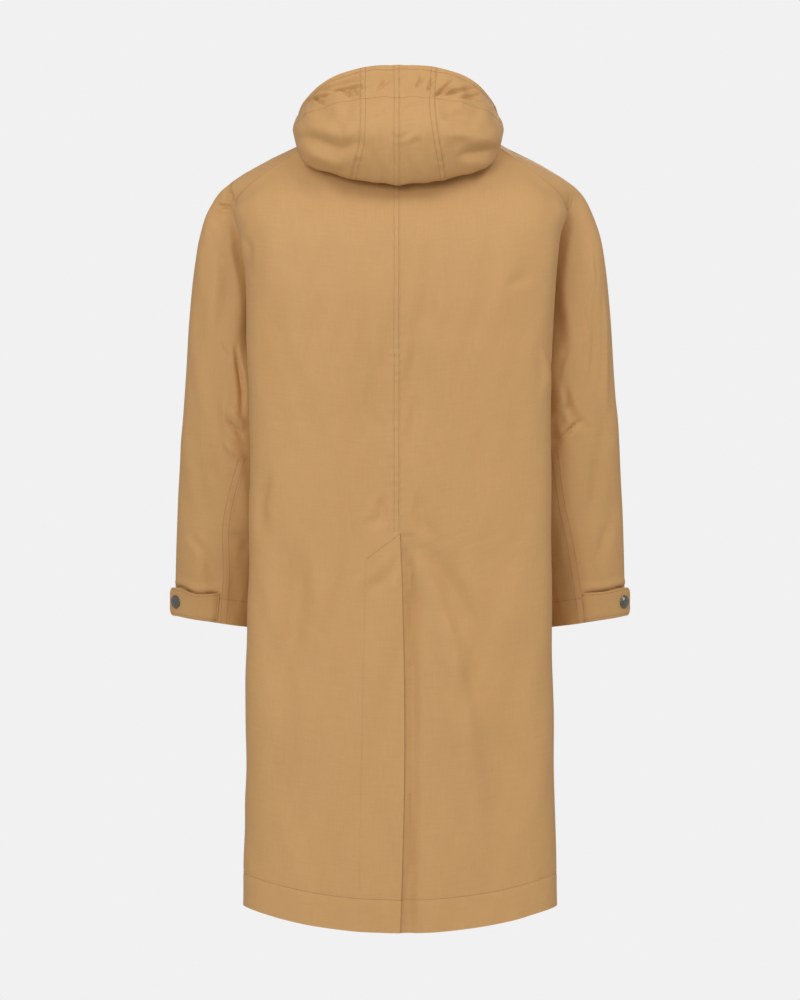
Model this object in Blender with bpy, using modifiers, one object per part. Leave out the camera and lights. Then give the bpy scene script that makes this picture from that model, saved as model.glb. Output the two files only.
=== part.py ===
"""Hooded raglan parka, knee length, filled out as if worn, with its hood down.

Metres. +Z is up and the back of the coat faces -Y. The origin is the middle of the neck hole,
at the height of the side of the neck. The right half of each table is +X, the wearer's right.
"""

import math

import bmesh
import bpy
import numpy as np
from mathutils import Vector

WALL = 0.0018  # cloth with its turned edges, drawn as one wall
SEAM_GAP = 0.0004  # between two pieces along a seam
RAGLAN_GAP = 0.0008  # where a seam bends over the shoulder
HOOD_LIFT = 0.0008  # hood above the neckline along the neck seam
UNDERARM_STEP = 0.0026  # sleeve out from the body at the point of the underarm
SHOULDER_RUN = 0.176  # how far from the neck the shoulder is fullest
SHOULDER_SPREAD = 0.032  # how far the fullness reaches to either side
SHOULDER_FULL = 0.008  # how far the fullness stands out
LAP_DEPTH = 0.0026  # how far an underlap lies below the piece on top
VENT_TOP = -0.566  # height where the centre back seam ends and the vent starts
VENT_LAP = 0.046  # width of the vent underlap
VENT_SLANT = 0.034  # height of the slanted top of the underlap
VENT_BOW = 0.006  # how far the lapping edge bows past the middle
FRONT_LAP = 0.030  # how far each front passes the middle
ARCH = 2.3  # squareness of the back from side to side
TAB_HEIGHT = 0.039
TAB_LENGTH = 0.075
TAB_SEWN_TURN = 96.0  # way round the sleeve of the tab's sewn end, in degrees
TAB_FREE_TURN = 12.0  # way round the sleeve of its free end
TAB_RISE = 0.0008  # tab above the sleeve where it is sewn on
TAB_STAND = 0.006  # how much further the free end stands off
TAB_FROM_CUFF = 0.001
TAB_CORNER = 0.009
SNAP_RADIUS = 0.0095
SNAP_SHARE = 0.80  # how far along the tab the snap is
SNAP_GAP = 0.0004  # between a tab and its snap
UNDERARM = 6  # level of the underarm in the body tables
NECK = 13  # level of the neckline in the body tables

# Back, a row for each level from the hem up: height and depth at the middle,
# then the fold at the side, then the edge where the side seam or sleeve seam is.
# middle_z, middle_y, fold_x, fold_y, fold_z, edge_x, edge_y, edge_z
BACK = (
    (-1.110, -0.163, 0.2152, -0.072, -1.077, 0.2060, -0.012, -1.071),
    (-0.960, -0.155, 0.2140, -0.071, -0.950, 0.1990, -0.006, -0.946),
    (-0.815, -0.147, 0.2125, -0.070, -0.813, 0.1920, 0.000, -0.810),
    (-0.675, -0.139, 0.2105, -0.068, -0.674, 0.1840, 0.005, -0.672),
    (-0.565, -0.135, 0.2085, -0.066, -0.564, 0.1760, 0.009, -0.562),
    (-0.430, -0.135, 0.2080, -0.065, -0.430, 0.1705, 0.010, -0.430),
    (-0.310, -0.140, 0.2100, -0.064, -0.306, 0.1700, 0.006, -0.300),
    (-0.292, -0.1405, 0.2105, -0.0635, -0.288, 0.1730, -0.011, -0.287),
    (-0.235, -0.142, 0.2125, -0.062, -0.226, 0.1870, -0.014, -0.220),
    (-0.172, -0.136, 0.2215, -0.057, -0.160, 0.2080, -0.022, -0.153),
    (-0.130, -0.126, 0.2300, -0.052, -0.116, 0.2275, -0.038, -0.107),
    (-0.098, -0.114, 0.1880, -0.066, -0.082, 0.1985, -0.056, -0.074),
    (-0.062, -0.094, 0.1300, -0.068, -0.042, 0.1430, -0.056, -0.036),
    (-0.018, -0.066, 0.0700, -0.048, -0.003, 0.0820, -0.034, 0.003),
)

# Front, for the same levels: height and depth at the middle, then the edge.
# middle_z, middle_y, edge_x, edge_y, edge_z
FRONT = (
    (-1.072, 0.150, 0.2060, -0.012, -1.071),
    (-0.943, 0.146, 0.1990, -0.006, -0.946),
    (-0.808, 0.142, 0.1920, 0.000, -0.810),
    (-0.672, 0.137, 0.1840, 0.005, -0.672),
    (-0.565, 0.132, 0.1760, 0.009, -0.562),
    (-0.433, 0.129, 0.1705, 0.010, -0.430),
    (-0.312, 0.130, 0.1700, 0.006, -0.300),
    (-0.298, 0.130, 0.1712, 0.026, -0.287),
    (-0.245, 0.129, 0.1815, 0.044, -0.222),
    (-0.190, 0.126, 0.1880, 0.062, -0.160),
    (-0.150, 0.121, 0.1860, 0.070, -0.115),
    (-0.120, 0.113, 0.1620, 0.066, -0.078),
    (-0.090, 0.098, 0.1260, 0.050, -0.040),
    (-0.062, 0.078, 0.0850, 0.014, 0.000),
)

# Which way round the sleeve each level of the sleeve seam leads, from the underarm up to the neck.
SLEEVE_TURN = (180.0, 148.0, 102.0, 66.0, 38.0, 24.0, 14.0, 7.0)

# Sleeve, a row for each ring: distance from the seam over the shoulder, outer point,
# inner point and half depth.
# run, outer_x, outer_y, outer_z, inner_x, inner_y, inner_z, half_depth
SLEEVE = (
    (0.190, 0.2593, 0.008, -0.102, 0.1810, 0.029, -0.308, 0.046),
    (0.235, 0.2765, 0.009, -0.138, 0.1830, 0.031, -0.320, 0.050),
    (0.300, 0.2880, 0.010, -0.195, 0.1835, 0.034, -0.335, 0.055),
    (0.372, 0.2955, 0.013, -0.268, 0.1835, 0.033, -0.355, 0.059),
    (0.445, 0.3000, 0.016, -0.340, 0.1825, 0.032, -0.392, 0.0605),
    (0.515, 0.3050, 0.021, -0.410, 0.1820, 0.031, -0.437, 0.0595),
    (0.595, 0.3105, 0.028, -0.490, 0.1845, 0.033, -0.507, 0.057),
    (0.675, 0.3145, 0.036, -0.570, 0.1905, 0.038, -0.585, 0.053),
    (0.735, 0.3165, 0.042, -0.630, 0.1985, 0.043, -0.644, 0.049),
    (0.788, 0.3170, 0.046, -0.684, 0.2070, 0.046, -0.7005, 0.046),
)

# Hood, a row for each place from the middle of the back round to the front: how far round,
# then the roll above the neck seam, the layer on the coat, the lower fold, the belly and the rim.
# round, roll_x, roll_y, roll_z, under_x, under_y, under_z, fold_x, fold_y, fold_z,
# belly_x, belly_y, belly_z, rim_x, rim_y, rim_z
HOOD = (
    (0.00, 0.000, -0.080, 0.006, 0.000, -0.106, -0.045, 0.000, -0.136, -0.0915,
     0.000, -0.171, -0.030, 0.000, -0.122, 0.0735),
    (0.22, 0.045, -0.076, 0.010, 0.057, -0.099, -0.040, 0.070, -0.126, -0.0810,
     0.072, -0.161, -0.026, 0.064, -0.115, 0.0720),
    (0.40, 0.084, -0.051, 0.027, 0.098, -0.087, -0.016, 0.118, -0.107, -0.0600,
     0.131, -0.121, -0.020, 0.1135, -0.092, 0.0555),
    (0.56, 0.096, -0.008, 0.031, 0.112, -0.023, 0.004, 0.135, -0.033, -0.0150,
     0.148, -0.044, -0.001, 0.1385, -0.040, 0.0285),
    (0.72, 0.086, 0.040, 0.014, 0.100, 0.045, -0.001, 0.113, 0.050, -0.0130,
     0.122, 0.052, 0.001, 0.112, 0.048, 0.0180),
    (0.88, 0.050, 0.082, -0.020, 0.056, 0.092, -0.029, 0.062, 0.101, -0.0350,
     0.067, 0.107, -0.024, 0.060, 0.101, -0.0030),
    (1.00, 0.0006, 0.096, -0.038, 0.0006, 0.105, -0.045, 0.0006, 0.115, -0.0500,
     0.0006, 0.121, -0.040, 0.0006, 0.114, -0.0180),
)
HOOD_SEAM = 0.20  # how far round the seam between middle and side panel is

# The largest folds of the back: start and end of each trough as x and z, its half width and depth.
# start_x, start_z, end_x, end_z, half_width, depth
FOLDS = (
    (0.042, -0.590, 0.075, -0.720, 0.030, 0.006),
    (-0.050, -0.380, -0.040, -0.560, 0.024, 0.004),
    (0.040, -0.190, 0.016, -0.420, 0.028, 0.004),
    (-0.150, -0.600, -0.165, -0.800, 0.030, 0.005),
    (0.150, -0.700, 0.140, -0.960, 0.034, 0.005),
)

# Cap of a snap from the middle of its dome to the middle of its base: radius and height.
SNAP_PROFILE = (
    (0.0, 0.0030), (0.30, 0.0029), (0.62, 0.0025), (0.86, 0.0018),
    (1.00, 0.0009), (0.97, 0.0002), (0.80, 0.0), (0.0, 0.0),
)

BACK_LEVELS = np.concatenate([np.linspace(0, UNDERARM, 14), np.linspace(UNDERARM, NECK, 15)[1:]])
BACK_ACROSS = (0.0, 0.05, 0.12, 0.21, 0.32, 0.43, 0.54, 0.64, 0.72, 0.78, 0.84, 0.91, 1.0)
FRONT_ACROSS = (0.0, 0.10, 0.22, 0.34, 0.46, 0.58, 0.70, 0.82, 0.92, 1.0)
SLEEVE_RUNS = (0.0, 0.030, 0.065, 0.105, 0.145, 0.185, 0.225, 0.27, 0.32, 0.375, 0.43,
               0.485, 0.54, 0.60, 0.66, 0.715, 0.753, 0.788)
HOOD_DOWN = (0.0, 0.10, 0.22, 0.34, 0.43, 0.50, 0.57, 0.65, 0.76, 0.88, 1.0)

TAN = (0.50, 0.29, 0.12, 1.0)
GUNMETAL = (0.055, 0.053, 0.048, 1.0)


def curve_through(knots, values, at):
    """Smooth curve through values at rising knots, read off at the places asked for."""
    knots = np.asarray(knots, float)
    values = np.asarray(values, float)
    at = np.clip(np.asarray(at, float), knots[0], knots[-1])
    slopes = np.gradient(values, knots, axis=0)
    first = np.clip(np.searchsorted(knots, at, side="right") - 1, 0, len(knots) - 2)
    step = knots[first + 1] - knots[first]
    part = (at - knots[first]) / step
    shape = part.shape + (1,) * (values.ndim - 1)
    step = step.reshape(shape)
    part = part.reshape(shape)
    rest = 1 - part
    return (
        (1 + 2 * part) * rest**2 * values[first]
        + part * rest**2 * step * slopes[first]
        + part**2 * (3 - 2 * part) * values[first + 1]
        - part**2 * rest * step * slopes[first + 1]
    )


def distances(points):
    """How far along a line each of its points is."""
    steps = np.linalg.norm(np.diff(points, axis=0), axis=1)
    return np.concatenate([[0.0], np.cumsum(steps)])


def spread_along(points, fractions, start_gap=0.0, end_gap=0.0):
    """Smooth line through a few points, read off at even fractions of its length."""
    fine = curve_through(distances(points), points, np.linspace(0, distances(points)[-1], 160))
    run = distances(fine)
    at = start_gap + np.asarray(fractions) * (run[-1] - start_gap - end_gap)
    return np.stack([np.interp(at, run, fine[:, axis]) for axis in range(3)], axis=1)


def ease(value, start, end):
    """Rises smoothly from 0 at start to 1 at end."""
    part = np.clip((np.asarray(value, float) - start) / (end - start), 0, 1)
    return part * part * (3 - 2 * part)


def fold_depth(x, z):
    """How far the large folds press the back in at a place."""
    total = np.zeros_like(x)
    for start_x, start_z, end_x, end_z, half_width, depth in FOLDS:
        run = (start_z - z) / (start_z - end_z)
        middle = start_x + (end_x - start_x) * run
        fade = ease(run, -0.15, 0.25) * (1 - ease(run, 0.7, 1.2))
        total += depth * fade * np.exp(-(((x - middle) / half_width) ** 2))
    return total


def back_row(level, start_x, fractions, start_gap, end_gap, side):
    """Points of one level of the back, from the middle (or past it) round to its edge."""
    middle_z, middle_y, fold_x, fold_y, fold_z, edge_x, edge_y, edge_z = curve_through(
        range(len(BACK)), BACK, level
    )
    shares = [start_x / fold_x] + [share for share in (0.0, 0.3, 0.55, 0.75, 0.88, 0.96)
                                   if share > start_x / fold_x + 0.1]
    line = []
    for share in shares:
        arch = (1 - abs(share) ** ARCH) ** (1 / ARCH)
        line.append((share * fold_x,
                     fold_y + (middle_y - fold_y) * arch,
                     middle_z + (fold_z - middle_z) * share**2))
    line.append((fold_x, fold_y, fold_z))
    line.append((0.82 * fold_x + 0.18 * edge_x,
                 0.60 * fold_y + 0.40 * edge_y,
                 0.60 * fold_z + 0.40 * edge_z))
    line.append((edge_x, edge_y, edge_z))
    row = spread_along(np.array(line), fractions, start_gap, end_gap)
    row[:, 1] += fold_depth(side * row[:, 0], row[:, 2]) * (1 - ease(fractions, 0.60, 0.80))
    return row


def back_points(levels, fractions, lapping):
    """Back panel: the lapping one ends near the middle, the other goes on under it below the vent top."""
    rows = []
    for level in levels:
        height = curve_through(range(len(BACK)), BACK, level)[0]
        below = np.clip((VENT_TOP - height) / (VENT_TOP - BACK[0][0]), 0, 1)
        gap = RAGLAN_GAP if level > UNDERARM else SEAM_GAP / 2
        if lapping:
            start = -VENT_BOW * math.sin(math.pi * below)
            rows.append(back_row(level, start, fractions, SEAM_GAP / 2, gap, -1))
        else:
            start = -VENT_LAP * np.clip((VENT_TOP - height) / VENT_SLANT, 0, 1)
            row = back_row(level, start, fractions, SEAM_GAP / 2, gap, 1)
            near = 1 - ease(row[:, 0], 0.010, 0.045)
            lower = 1 - ease(height, VENT_TOP + 0.002, VENT_TOP + 0.07)
            row[:, 1] += (LAP_DEPTH + 0.004 * below) * near * lower
            rows.append(row)
    return np.array(rows)


def front_edge(level):
    """Edge of the front: the side seam, which it shares with the back, or the sleeve seam above it."""
    if level <= UNDERARM:
        return curve_through(range(len(BACK)), BACK, level)[5:8]
    return curve_through(range(UNDERARM, NECK + 1), FRONT[UNDERARM:], level)[2:5]


def front_points(levels, fractions, lapping):
    """Front panel from its edge to past the middle, where one front lies under the other."""
    rows = []
    for level in levels:
        middle_z, middle_y = curve_through(range(len(FRONT)), FRONT, level)[:2]
        edge_x, edge_y, edge_z = front_edge(level)
        line = [(edge_x, edge_y, edge_z)]
        lap = FRONT_LAP / edge_x
        for share in (0.97, 0.88, 0.72, 0.5, 0.25, 0.0, -lap):
            arch = (1 - abs(share) ** 2.1) ** (1 / 2.1)
            line.append((share * edge_x,
                         edge_y + (middle_y - edge_y) * arch,
                         middle_z + (edge_z - middle_z) * share**2))
        gap = RAGLAN_GAP if level > UNDERARM else SEAM_GAP / 2
        row = spread_along(np.array(line), fractions, gap, 0.0)
        if not lapping:
            row[:, 1] -= LAP_DEPTH * (1 - ease(row[:, 0], FRONT_LAP + 0.006, FRONT_LAP + 0.04))
        rows.append(row)
    return np.array(rows)


def sleeve_seam(levels):
    """Seam of the sleeve from the underarm up the back, over the neck end and down the front."""
    upper = [level for level in levels if level >= UNDERARM]
    back = curve_through(range(len(BACK)), BACK, upper)[:, 5:8]
    front = np.array([front_edge(level) for level in upper])
    turn = curve_through(range(UNDERARM, NECK + 1), SLEEVE_TURN, upper)
    top = [back[-1] + (front[-1] - back[-1]) * share + Vector((0, 0, 0.0006)) for share in (0.35, 0.65)]
    seam = np.concatenate([back, np.array(top), front[::-1]])
    seam[[0, -1], 0] += UNDERARM_STEP
    turns = np.concatenate([turn, (turn[-1] / 3, -turn[-1] / 3), -turn[::-1]])
    return seam, np.radians(turns)


def seam_sides(back, front, levels):
    """Direction from the sleeve seam into the panel it is sewn to, none along the neck end."""
    first = np.searchsorted(levels, UNDERARM)
    into_back = back[first:, -2] - back[first:, -1]
    into_front = front[first:, 1] - front[first:, 0]
    into = np.concatenate([into_back, np.zeros((2, 3)), into_front[::-1]])
    return into / np.maximum(np.linalg.norm(into, axis=1, keepdims=True), 0.001)


def shoulder_fullness(run, turn):
    """How far the cloth stands out over the shoulder."""
    near = math.exp(-(((run - SHOULDER_RUN) / SHOULDER_SPREAD) ** 2))
    top = np.clip(np.cos(turn), 0, 1) ** 2
    return SHOULDER_FULL * near * top[:, None] * np.array((0.64, 0.0, 0.77))


def sleeve_points(levels, runs, into_panel):
    """Sleeve from its seam at the body down to the cuff; the last column is the first again."""
    seam, seam_turn = sleeve_seam(levels)
    even_turn = np.linspace(math.pi, -math.pi, len(seam))
    knots = [0.0] + [row[0] for row in SLEEVE]
    rows = []
    for run in runs:
        turn = seam_turn + (even_turn - seam_turn) * ease(run, 0.20, 0.50)
        rings = [seam]
        for row in SLEEVE:
            outer = np.array(row[1:4])
            inner = np.array(row[4:7])
            ring = (outer + inner) / 2 + np.cos(turn)[:, None] * (outer - inner) / 2
            ring[:, 1] -= row[7] * np.sin(turn)
            rings.append(ring)
        row = curve_through(knots, rings, np.array([run]))[0]
        rows.append(row + shoulder_fullness(run, turn))
    away = rows[1] - rows[0]
    away = away / np.linalg.norm(away, axis=1, keepdims=True) - into_panel
    away[0] = away[-1] = away[0] + away[-1]
    rows[0] = rows[0] + RAGLAN_GAP * away / np.linalg.norm(away, axis=1, keepdims=True)
    return np.array(rows)


def neck_line(back, front, sleeve):
    """Neckline from the middle of the back round to the middle of the front."""
    tip = sleeve[0, len(sleeve[0]) // 2 - 1: len(sleeve[0]) // 2 + 1]
    front_top = front[-1][front[-1][:, 0] > 0.002]
    return np.concatenate([back[-1], tip, front_top])


def hood_points(neck, rounds, downs):
    """Hood from the neck seam over the roll, down, round the lower fold and up to the rim."""
    seam = spread_along(neck, rounds)
    table = np.array(HOOD)
    shape = curve_through(table[:, 0], table[:, 1:], rounds)
    columns = []
    for start, sizes in zip(seam, shape):
        lift = Vector((0, 0, HOOD_LIFT))
        line = np.concatenate([[start + lift], sizes.reshape(5, 3)])
        columns.append(spread_along(line, downs))
    return np.stack(columns, axis=1)


def sleeve_surface(turn_degrees, run):
    """Point and outward direction on the lower sleeve."""
    turn = math.radians(turn_degrees)
    row = curve_through([row[0] for row in SLEEVE], [row[1:] for row in SLEEVE], np.array([run]))[0]
    outer = Vector(row[0:3])
    inner = Vector(row[3:6])
    half_depth = row[6]
    point = (outer + inner) / 2 + math.cos(turn) * (outer - inner) / 2
    point.y -= half_depth * math.sin(turn)
    half_width = (outer.x - inner.x) / 2
    outward = Vector((math.cos(turn) / half_width, -math.sin(turn) / half_depth, 0.0)).normalized()
    return point, outward


def tab_point(share, up):
    """Point of a cuff tab, from its sewn end to its free end and from its lower to its upper edge."""
    to_end = (1 - share) * TAB_LENGTH
    short = TAB_CORNER - math.sqrt(max(TAB_CORNER**2 - max(TAB_CORNER - to_end, 0) ** 2, 0))
    short = min(short, TAB_CORNER * 0.9)
    drop = TAB_FROM_CUFF + short + (TAB_HEIGHT - 2 * short) * up
    turn = TAB_SEWN_TURN + (TAB_FREE_TURN - TAB_SEWN_TURN) * share
    point, outward = sleeve_surface(turn, SLEEVE[-1][0] - drop)
    return point + outward * (TAB_RISE + WALL + TAB_STAND * share**3)


def tab_points(columns, rows):
    """Cuff tab from its sewn end at the back of the sleeve round to its rounded free end."""
    return np.array([
        [tab_point(share, up) for share in np.linspace(0, 1, columns)] for up in np.linspace(0, 1, rows)
    ])


def snap_place():
    """Middle of the snap on the tab and the way it faces."""
    step = 0.02
    along = tab_point(SNAP_SHARE + step, 0.5) - tab_point(SNAP_SHARE - step, 0.5)
    upward = tab_point(SNAP_SHARE, 0.5 + step) - tab_point(SNAP_SHARE, 0.5 - step)
    outward = along.cross(upward).normalized()
    return tab_point(SNAP_SHARE, 0.5) + outward * SNAP_GAP, outward


def material(name, colour, roughness, metallic):
    """One plain Principled material."""
    made = bpy.data.materials.new(name)
    made.use_nodes = True
    shader = made.node_tree.nodes["Principled BSDF"]
    shader.inputs["Base Color"].default_value = colour
    shader.inputs["Roughness"].default_value = roughness
    shader.inputs["Metallic"].default_value = metallic
    made.diffuse_color = colour
    return made


def place(name, mesh_data, looks, holder, coat):
    """Puts a finished mesh in the coat's collection under the holder."""
    mesh = bpy.data.meshes.new(name)
    mesh_data.to_mesh(mesh)
    mesh_data.free()
    mesh.shade_smooth()
    mesh.materials.append(looks)
    piece = bpy.data.objects.new(name, mesh)
    piece.parent = holder
    coat.objects.link(piece)
    return piece


def add_sheet(name, points, mirrored, holder, coat, tube=False):
    """Grid laid on the points, thickened inward into a cloth wall."""
    points = points.copy()
    if mirrored:
        points[:, :, 0] *= -1
        points = points[:, ::-1]
    rows, columns = points.shape[:2]
    mesh_data = bmesh.new()
    bmesh.ops.create_grid(mesh_data, x_segments=columns - 1, y_segments=rows - 1, size=0.5)
    for vertex in mesh_data.verts:
        column = round((vertex.co.x + 0.5) * (columns - 1))
        row = round((vertex.co.y + 0.5) * (rows - 1))
        vertex.co = points[row, column]
    if tube:
        bmesh.ops.remove_doubles(mesh_data, verts=mesh_data.verts, dist=0.00005)
    piece = place(name, mesh_data, material(name, TAN, 0.8, 0.0), holder, coat)
    wall = piece.modifiers.new("Cloth wall", "SOLIDIFY")
    wall.thickness = WALL
    wall.offset = -1.0
    return piece


def add_snap(name, point, outward, mirrored, holder, coat):
    """Domed snap cap, spun from its profile and set on the tab."""
    mesh_data = bmesh.new()
    line = [mesh_data.verts.new((share * SNAP_RADIUS, 0, height)) for share, height in SNAP_PROFILE]
    edges = [mesh_data.edges.new(pair) for pair in zip(line, line[1:])]
    bmesh.ops.spin(mesh_data, geom=line + edges, cent=(0, 0, 0), axis=(0, 0, 1),
                   angle=2 * math.pi, steps=20, use_duplicate=False)
    bmesh.ops.remove_doubles(mesh_data, verts=mesh_data.verts, dist=0.00002)
    bmesh.ops.recalc_face_normals(mesh_data, faces=mesh_data.faces)
    piece = place(name, mesh_data, material(name, GUNMETAL, 0.35, 1.0), holder, coat)
    side = -1 if mirrored else 1
    direction = Vector((outward.x * side, outward.y, outward.z))
    piece.location = Vector((point.x * side, point.y, point.z))
    piece.rotation_mode = "QUATERNION"
    piece.rotation_quaternion = direction.to_track_quat("Z", "Y")
    return piece


def build():
    for old in list(bpy.data.objects):
        bpy.data.objects.remove(old, do_unlink=True)
    coat = bpy.data.collections.new("parka")
    bpy.context.scene.collection.children.link(coat)
    holder = bpy.data.objects.new("parka_origin", None)
    coat.objects.link(holder)

    back_under = back_points(BACK_LEVELS, BACK_ACROSS, False)
    back_over = back_points(BACK_LEVELS, BACK_ACROSS, True)
    add_sheet("back_right", back_under, False, holder, coat)
    add_sheet("back_left", back_over, True, holder, coat)

    front_under = front_points(BACK_LEVELS, FRONT_ACROSS, False)
    front_over = front_points(BACK_LEVELS, FRONT_ACROSS, True)
    add_sheet("front_right", front_under, False, holder, coat)
    add_sheet("front_left", front_over, True, holder, coat)

    into_panel = seam_sides(back_over, front_over, BACK_LEVELS)
    sleeve = sleeve_points(BACK_LEVELS, SLEEVE_RUNS, into_panel)
    neck = neck_line(back_over, front_over, sleeve)
    middle = hood_points(neck, np.linspace(0.0025, HOOD_SEAM - 0.0016, 5), HOOD_DOWN)
    side = hood_points(neck, np.linspace(HOOD_SEAM + 0.0016, 1.0, 14), HOOD_DOWN)
    tab = tab_points(12, 6)
    snap_point, snap_outward = snap_place()

    for suffix, mirrored in (("right", False), ("left", True)):
        add_sheet("sleeve_" + suffix, sleeve[::-1], mirrored, holder, coat, tube=True)
        add_sheet("hood_middle_" + suffix, middle, mirrored, holder, coat)
        add_sheet("hood_side_" + suffix, side, mirrored, holder, coat)
        add_sheet("cuff_tab_" + suffix, tab, mirrored, holder, coat)
        add_snap("snap_" + suffix, snap_point, snap_outward, mirrored, holder, coat)


build()
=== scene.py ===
"""Hooded raglan parka in tan cloth, dressed around its solids.

Metres, apart from the tables that say millimetres. +Z is up and the back of the coat faces -Y. Each cloth
piece is worked out as a right-hand one, with x positive, and a left-hand one is turned over at the end.
World x is then side times x.
"""

import math

import bmesh
import bpy
import numpy as np
from mathutils import Matrix, Vector


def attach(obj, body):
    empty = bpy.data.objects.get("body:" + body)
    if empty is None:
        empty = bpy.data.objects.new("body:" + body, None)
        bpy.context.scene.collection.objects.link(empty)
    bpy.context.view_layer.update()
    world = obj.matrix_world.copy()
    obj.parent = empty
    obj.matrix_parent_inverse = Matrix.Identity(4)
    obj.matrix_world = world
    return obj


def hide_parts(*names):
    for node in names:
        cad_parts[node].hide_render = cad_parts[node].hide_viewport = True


bl_info = {
    "name": "Hooded parka",
    "version": (1, 0, 0),
    "blender": (4, 5, 0),
    "location": "View3D > Sidebar > Parka",
    "description": "Cuts, creases and sews a hooded raglan parka around its solids",
    "category": "Add Mesh",
}

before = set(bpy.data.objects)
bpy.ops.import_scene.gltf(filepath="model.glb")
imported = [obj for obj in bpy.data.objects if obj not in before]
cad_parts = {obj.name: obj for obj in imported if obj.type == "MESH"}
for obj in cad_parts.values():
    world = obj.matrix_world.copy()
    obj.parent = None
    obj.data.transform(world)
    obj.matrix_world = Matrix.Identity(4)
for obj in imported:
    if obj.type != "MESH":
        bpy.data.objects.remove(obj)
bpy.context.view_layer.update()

# Sizes of the coat
UNDERARM_STEP = 0.0012  # sleeve out from the body at the point of the underarm
SHOULDER_RUN = 0.176  # how far from the neck the shoulder is fullest
SHOULDER_SPREAD = 0.032
SHOULDER_FULL = 0.002
SLEEVE_SQUARE = 0.8  # how much squarer than an ellipse the outer side of the sleeve hangs
SLEEVE_LEAN = 0.45  # how much fuller its back is towards the body
LAP_DEPTH = 0.0026  # how far the front underlap lies below the front on top
VENT_DEPTH = 0.0020  # how far the vent underlap lies below its lap
VENT_HOLLOW = 0.0062  # depth of the soft hollow beside the lap
VENT_TOP = -0.566
VENT_LAP = 0.046
VENT_SLANT = 0.034
VENT_BOW = 0.006
FRONT_LAP = 0.030
ARCH = 2.3  # squareness of the back from side to side over the shoulders
ARCH_LOW = 3.6  # and lower down, where the side folds are crisp
CAD_WALL = 0.0018
TAB_HEIGHT = 0.039
TAB_LENGTH = 0.075
TAB_SEWN_TURN = 96.0  # way round the sleeve of the tab's sewn end, in degrees
TAB_FREE_TURN = 12.0  # way round the sleeve of its free end
TAB_RISE = 0.0008
TAB_STAND = 0.006  # how much further the free end of a tab stands off
TAB_FROM_CUFF = 0.001
TAB_CORNER = 0.009
SNAP_RADIUS = 0.0095
SNAP_SHARE = 0.80  # how far along the tab the snap is
SNAP_GAP = 0.0004
UNDERARM = 6  # level of the underarm in the body tables
NECK = 13  # level of the neckline in the body tables
FELL = 0.0085  # width of a flat-felled seam
FELL_STEP = 0.003  # over which its doubled cloth comes down
FELL_INSET = 0.0004  # its second line of stitches, in from its edge
HEM = 0.045
CUFF_HEM = 0.035
RIM_HEM = 0.007
HEM_STEP = 0.003  # half of the width over which a hem's doubled cloth comes down
FLY = 0.062  # front edge to the fly stitching
EDGE_STITCH = 0.003  # a seam or front edge to its stitching
STITCH_SINK = 0.0004  # how far a line of stitching sinks into the cloth
SHOULDER_WAY = (0.64, 0.0, 0.77)  # which way the shoulder is full
SHOULDER_ROUNDS = 80  # how often the cloth over the shoulder is smoothed
FRONT_ROUND = 2.1  # squareness of the front from side to side
VENT_START = 0.012  # above and below the vent's top, over which its seam opens
BACK_STITCH_LEVEL = 9.6  # level at which the stitching along the back's sleeve seam starts
FRONT_STITCH_LEVEL = UNDERARM + 1.5  # and the front's
TAB_STITCH = 0.0032  # edge of a tab to its stitching
TAB_SLACK = (0.36, 0.24)  # how far along a tab it gapes most, and over how much
TAB_THICKNESS = 0.0020
WELD = 0.00003  # points closer than this become one

def in_metres(rows):
    """A table of millimetres as an array of metres."""
    return np.array(rows) * 0.001


# The tables of forms, folds and creases are in millimetres where they are passed to in_metres.

# Back, a row for each level from the hem up: height and depth at the middle,
# then the fold at the side, then the edge where the side seam or sleeve seam is.
# middle_z, middle_y, fold_x, fold_y, fold_z, edge_x, edge_y, edge_z
BACK = in_metres((
    (-1110, -163, 215.2, -72, -1077, 206, -12, -1071),
    (-960, -155, 214, -71, -950, 199, -6, -946),
    (-815, -147, 212.5, -70, -813, 192, 0, -810),
    (-675, -139, 210.5, -68, -674, 184, 5, -672),
    (-565, -135, 208.5, -66, -564, 176, 9, -562),
    (-430, -135, 208, -65, -430, 170.5, 10, -430),
    (-310, -140, 210, -64, -306, 170, 6, -300),
    (-292, -140.5, 210.5, -63.5, -288, 173, -11, -287),
    (-235, -142, 212.5, -62, -226, 187, -14, -220),
    (-172, -136, 221.5, -57, -160, 208, -22, -153),
    (-130, -126, 230, -52, -116, 227.5, -38, -107),
    (-98, -114, 188, -66, -82, 198.5, -56, -74),
    (-62, -94, 130, -68, -42, 143, -56, -36),
    (-18, -66, 70, -48, -3, 82, -34, 3),
))

# Front, for the same levels: height and depth at the middle, then the edge.
# middle_z, middle_y, edge_x, edge_y, edge_z
FRONT = in_metres((
    (-1072, 150, 206, -12, -1071),
    (-943, 146, 199, -6, -946),
    (-808, 142, 192, 0, -810),
    (-672, 137, 184, 5, -672),
    (-565, 132, 176, 9, -562),
    (-433, 129, 170.5, 10, -430),
    (-312, 130, 170, 6, -300),
    (-298, 130, 171.2, 26, -287),
    (-245, 129, 181.5, 44, -222),
    (-190, 126, 188, 62, -160),
    (-150, 121, 186, 70, -115),
    (-120, 113, 162, 66, -78),
    (-90, 98, 126, 50, -40),
    (-62, 78, 85, 14, 0),
))

# Which way round the sleeve each level of the sleeve seam leads, from the underarm up to the neck.
SLEEVE_TURN = (180.0, 148.0, 102.0, 66.0, 38.0, 24.0, 14.0, 7.0)

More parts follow.
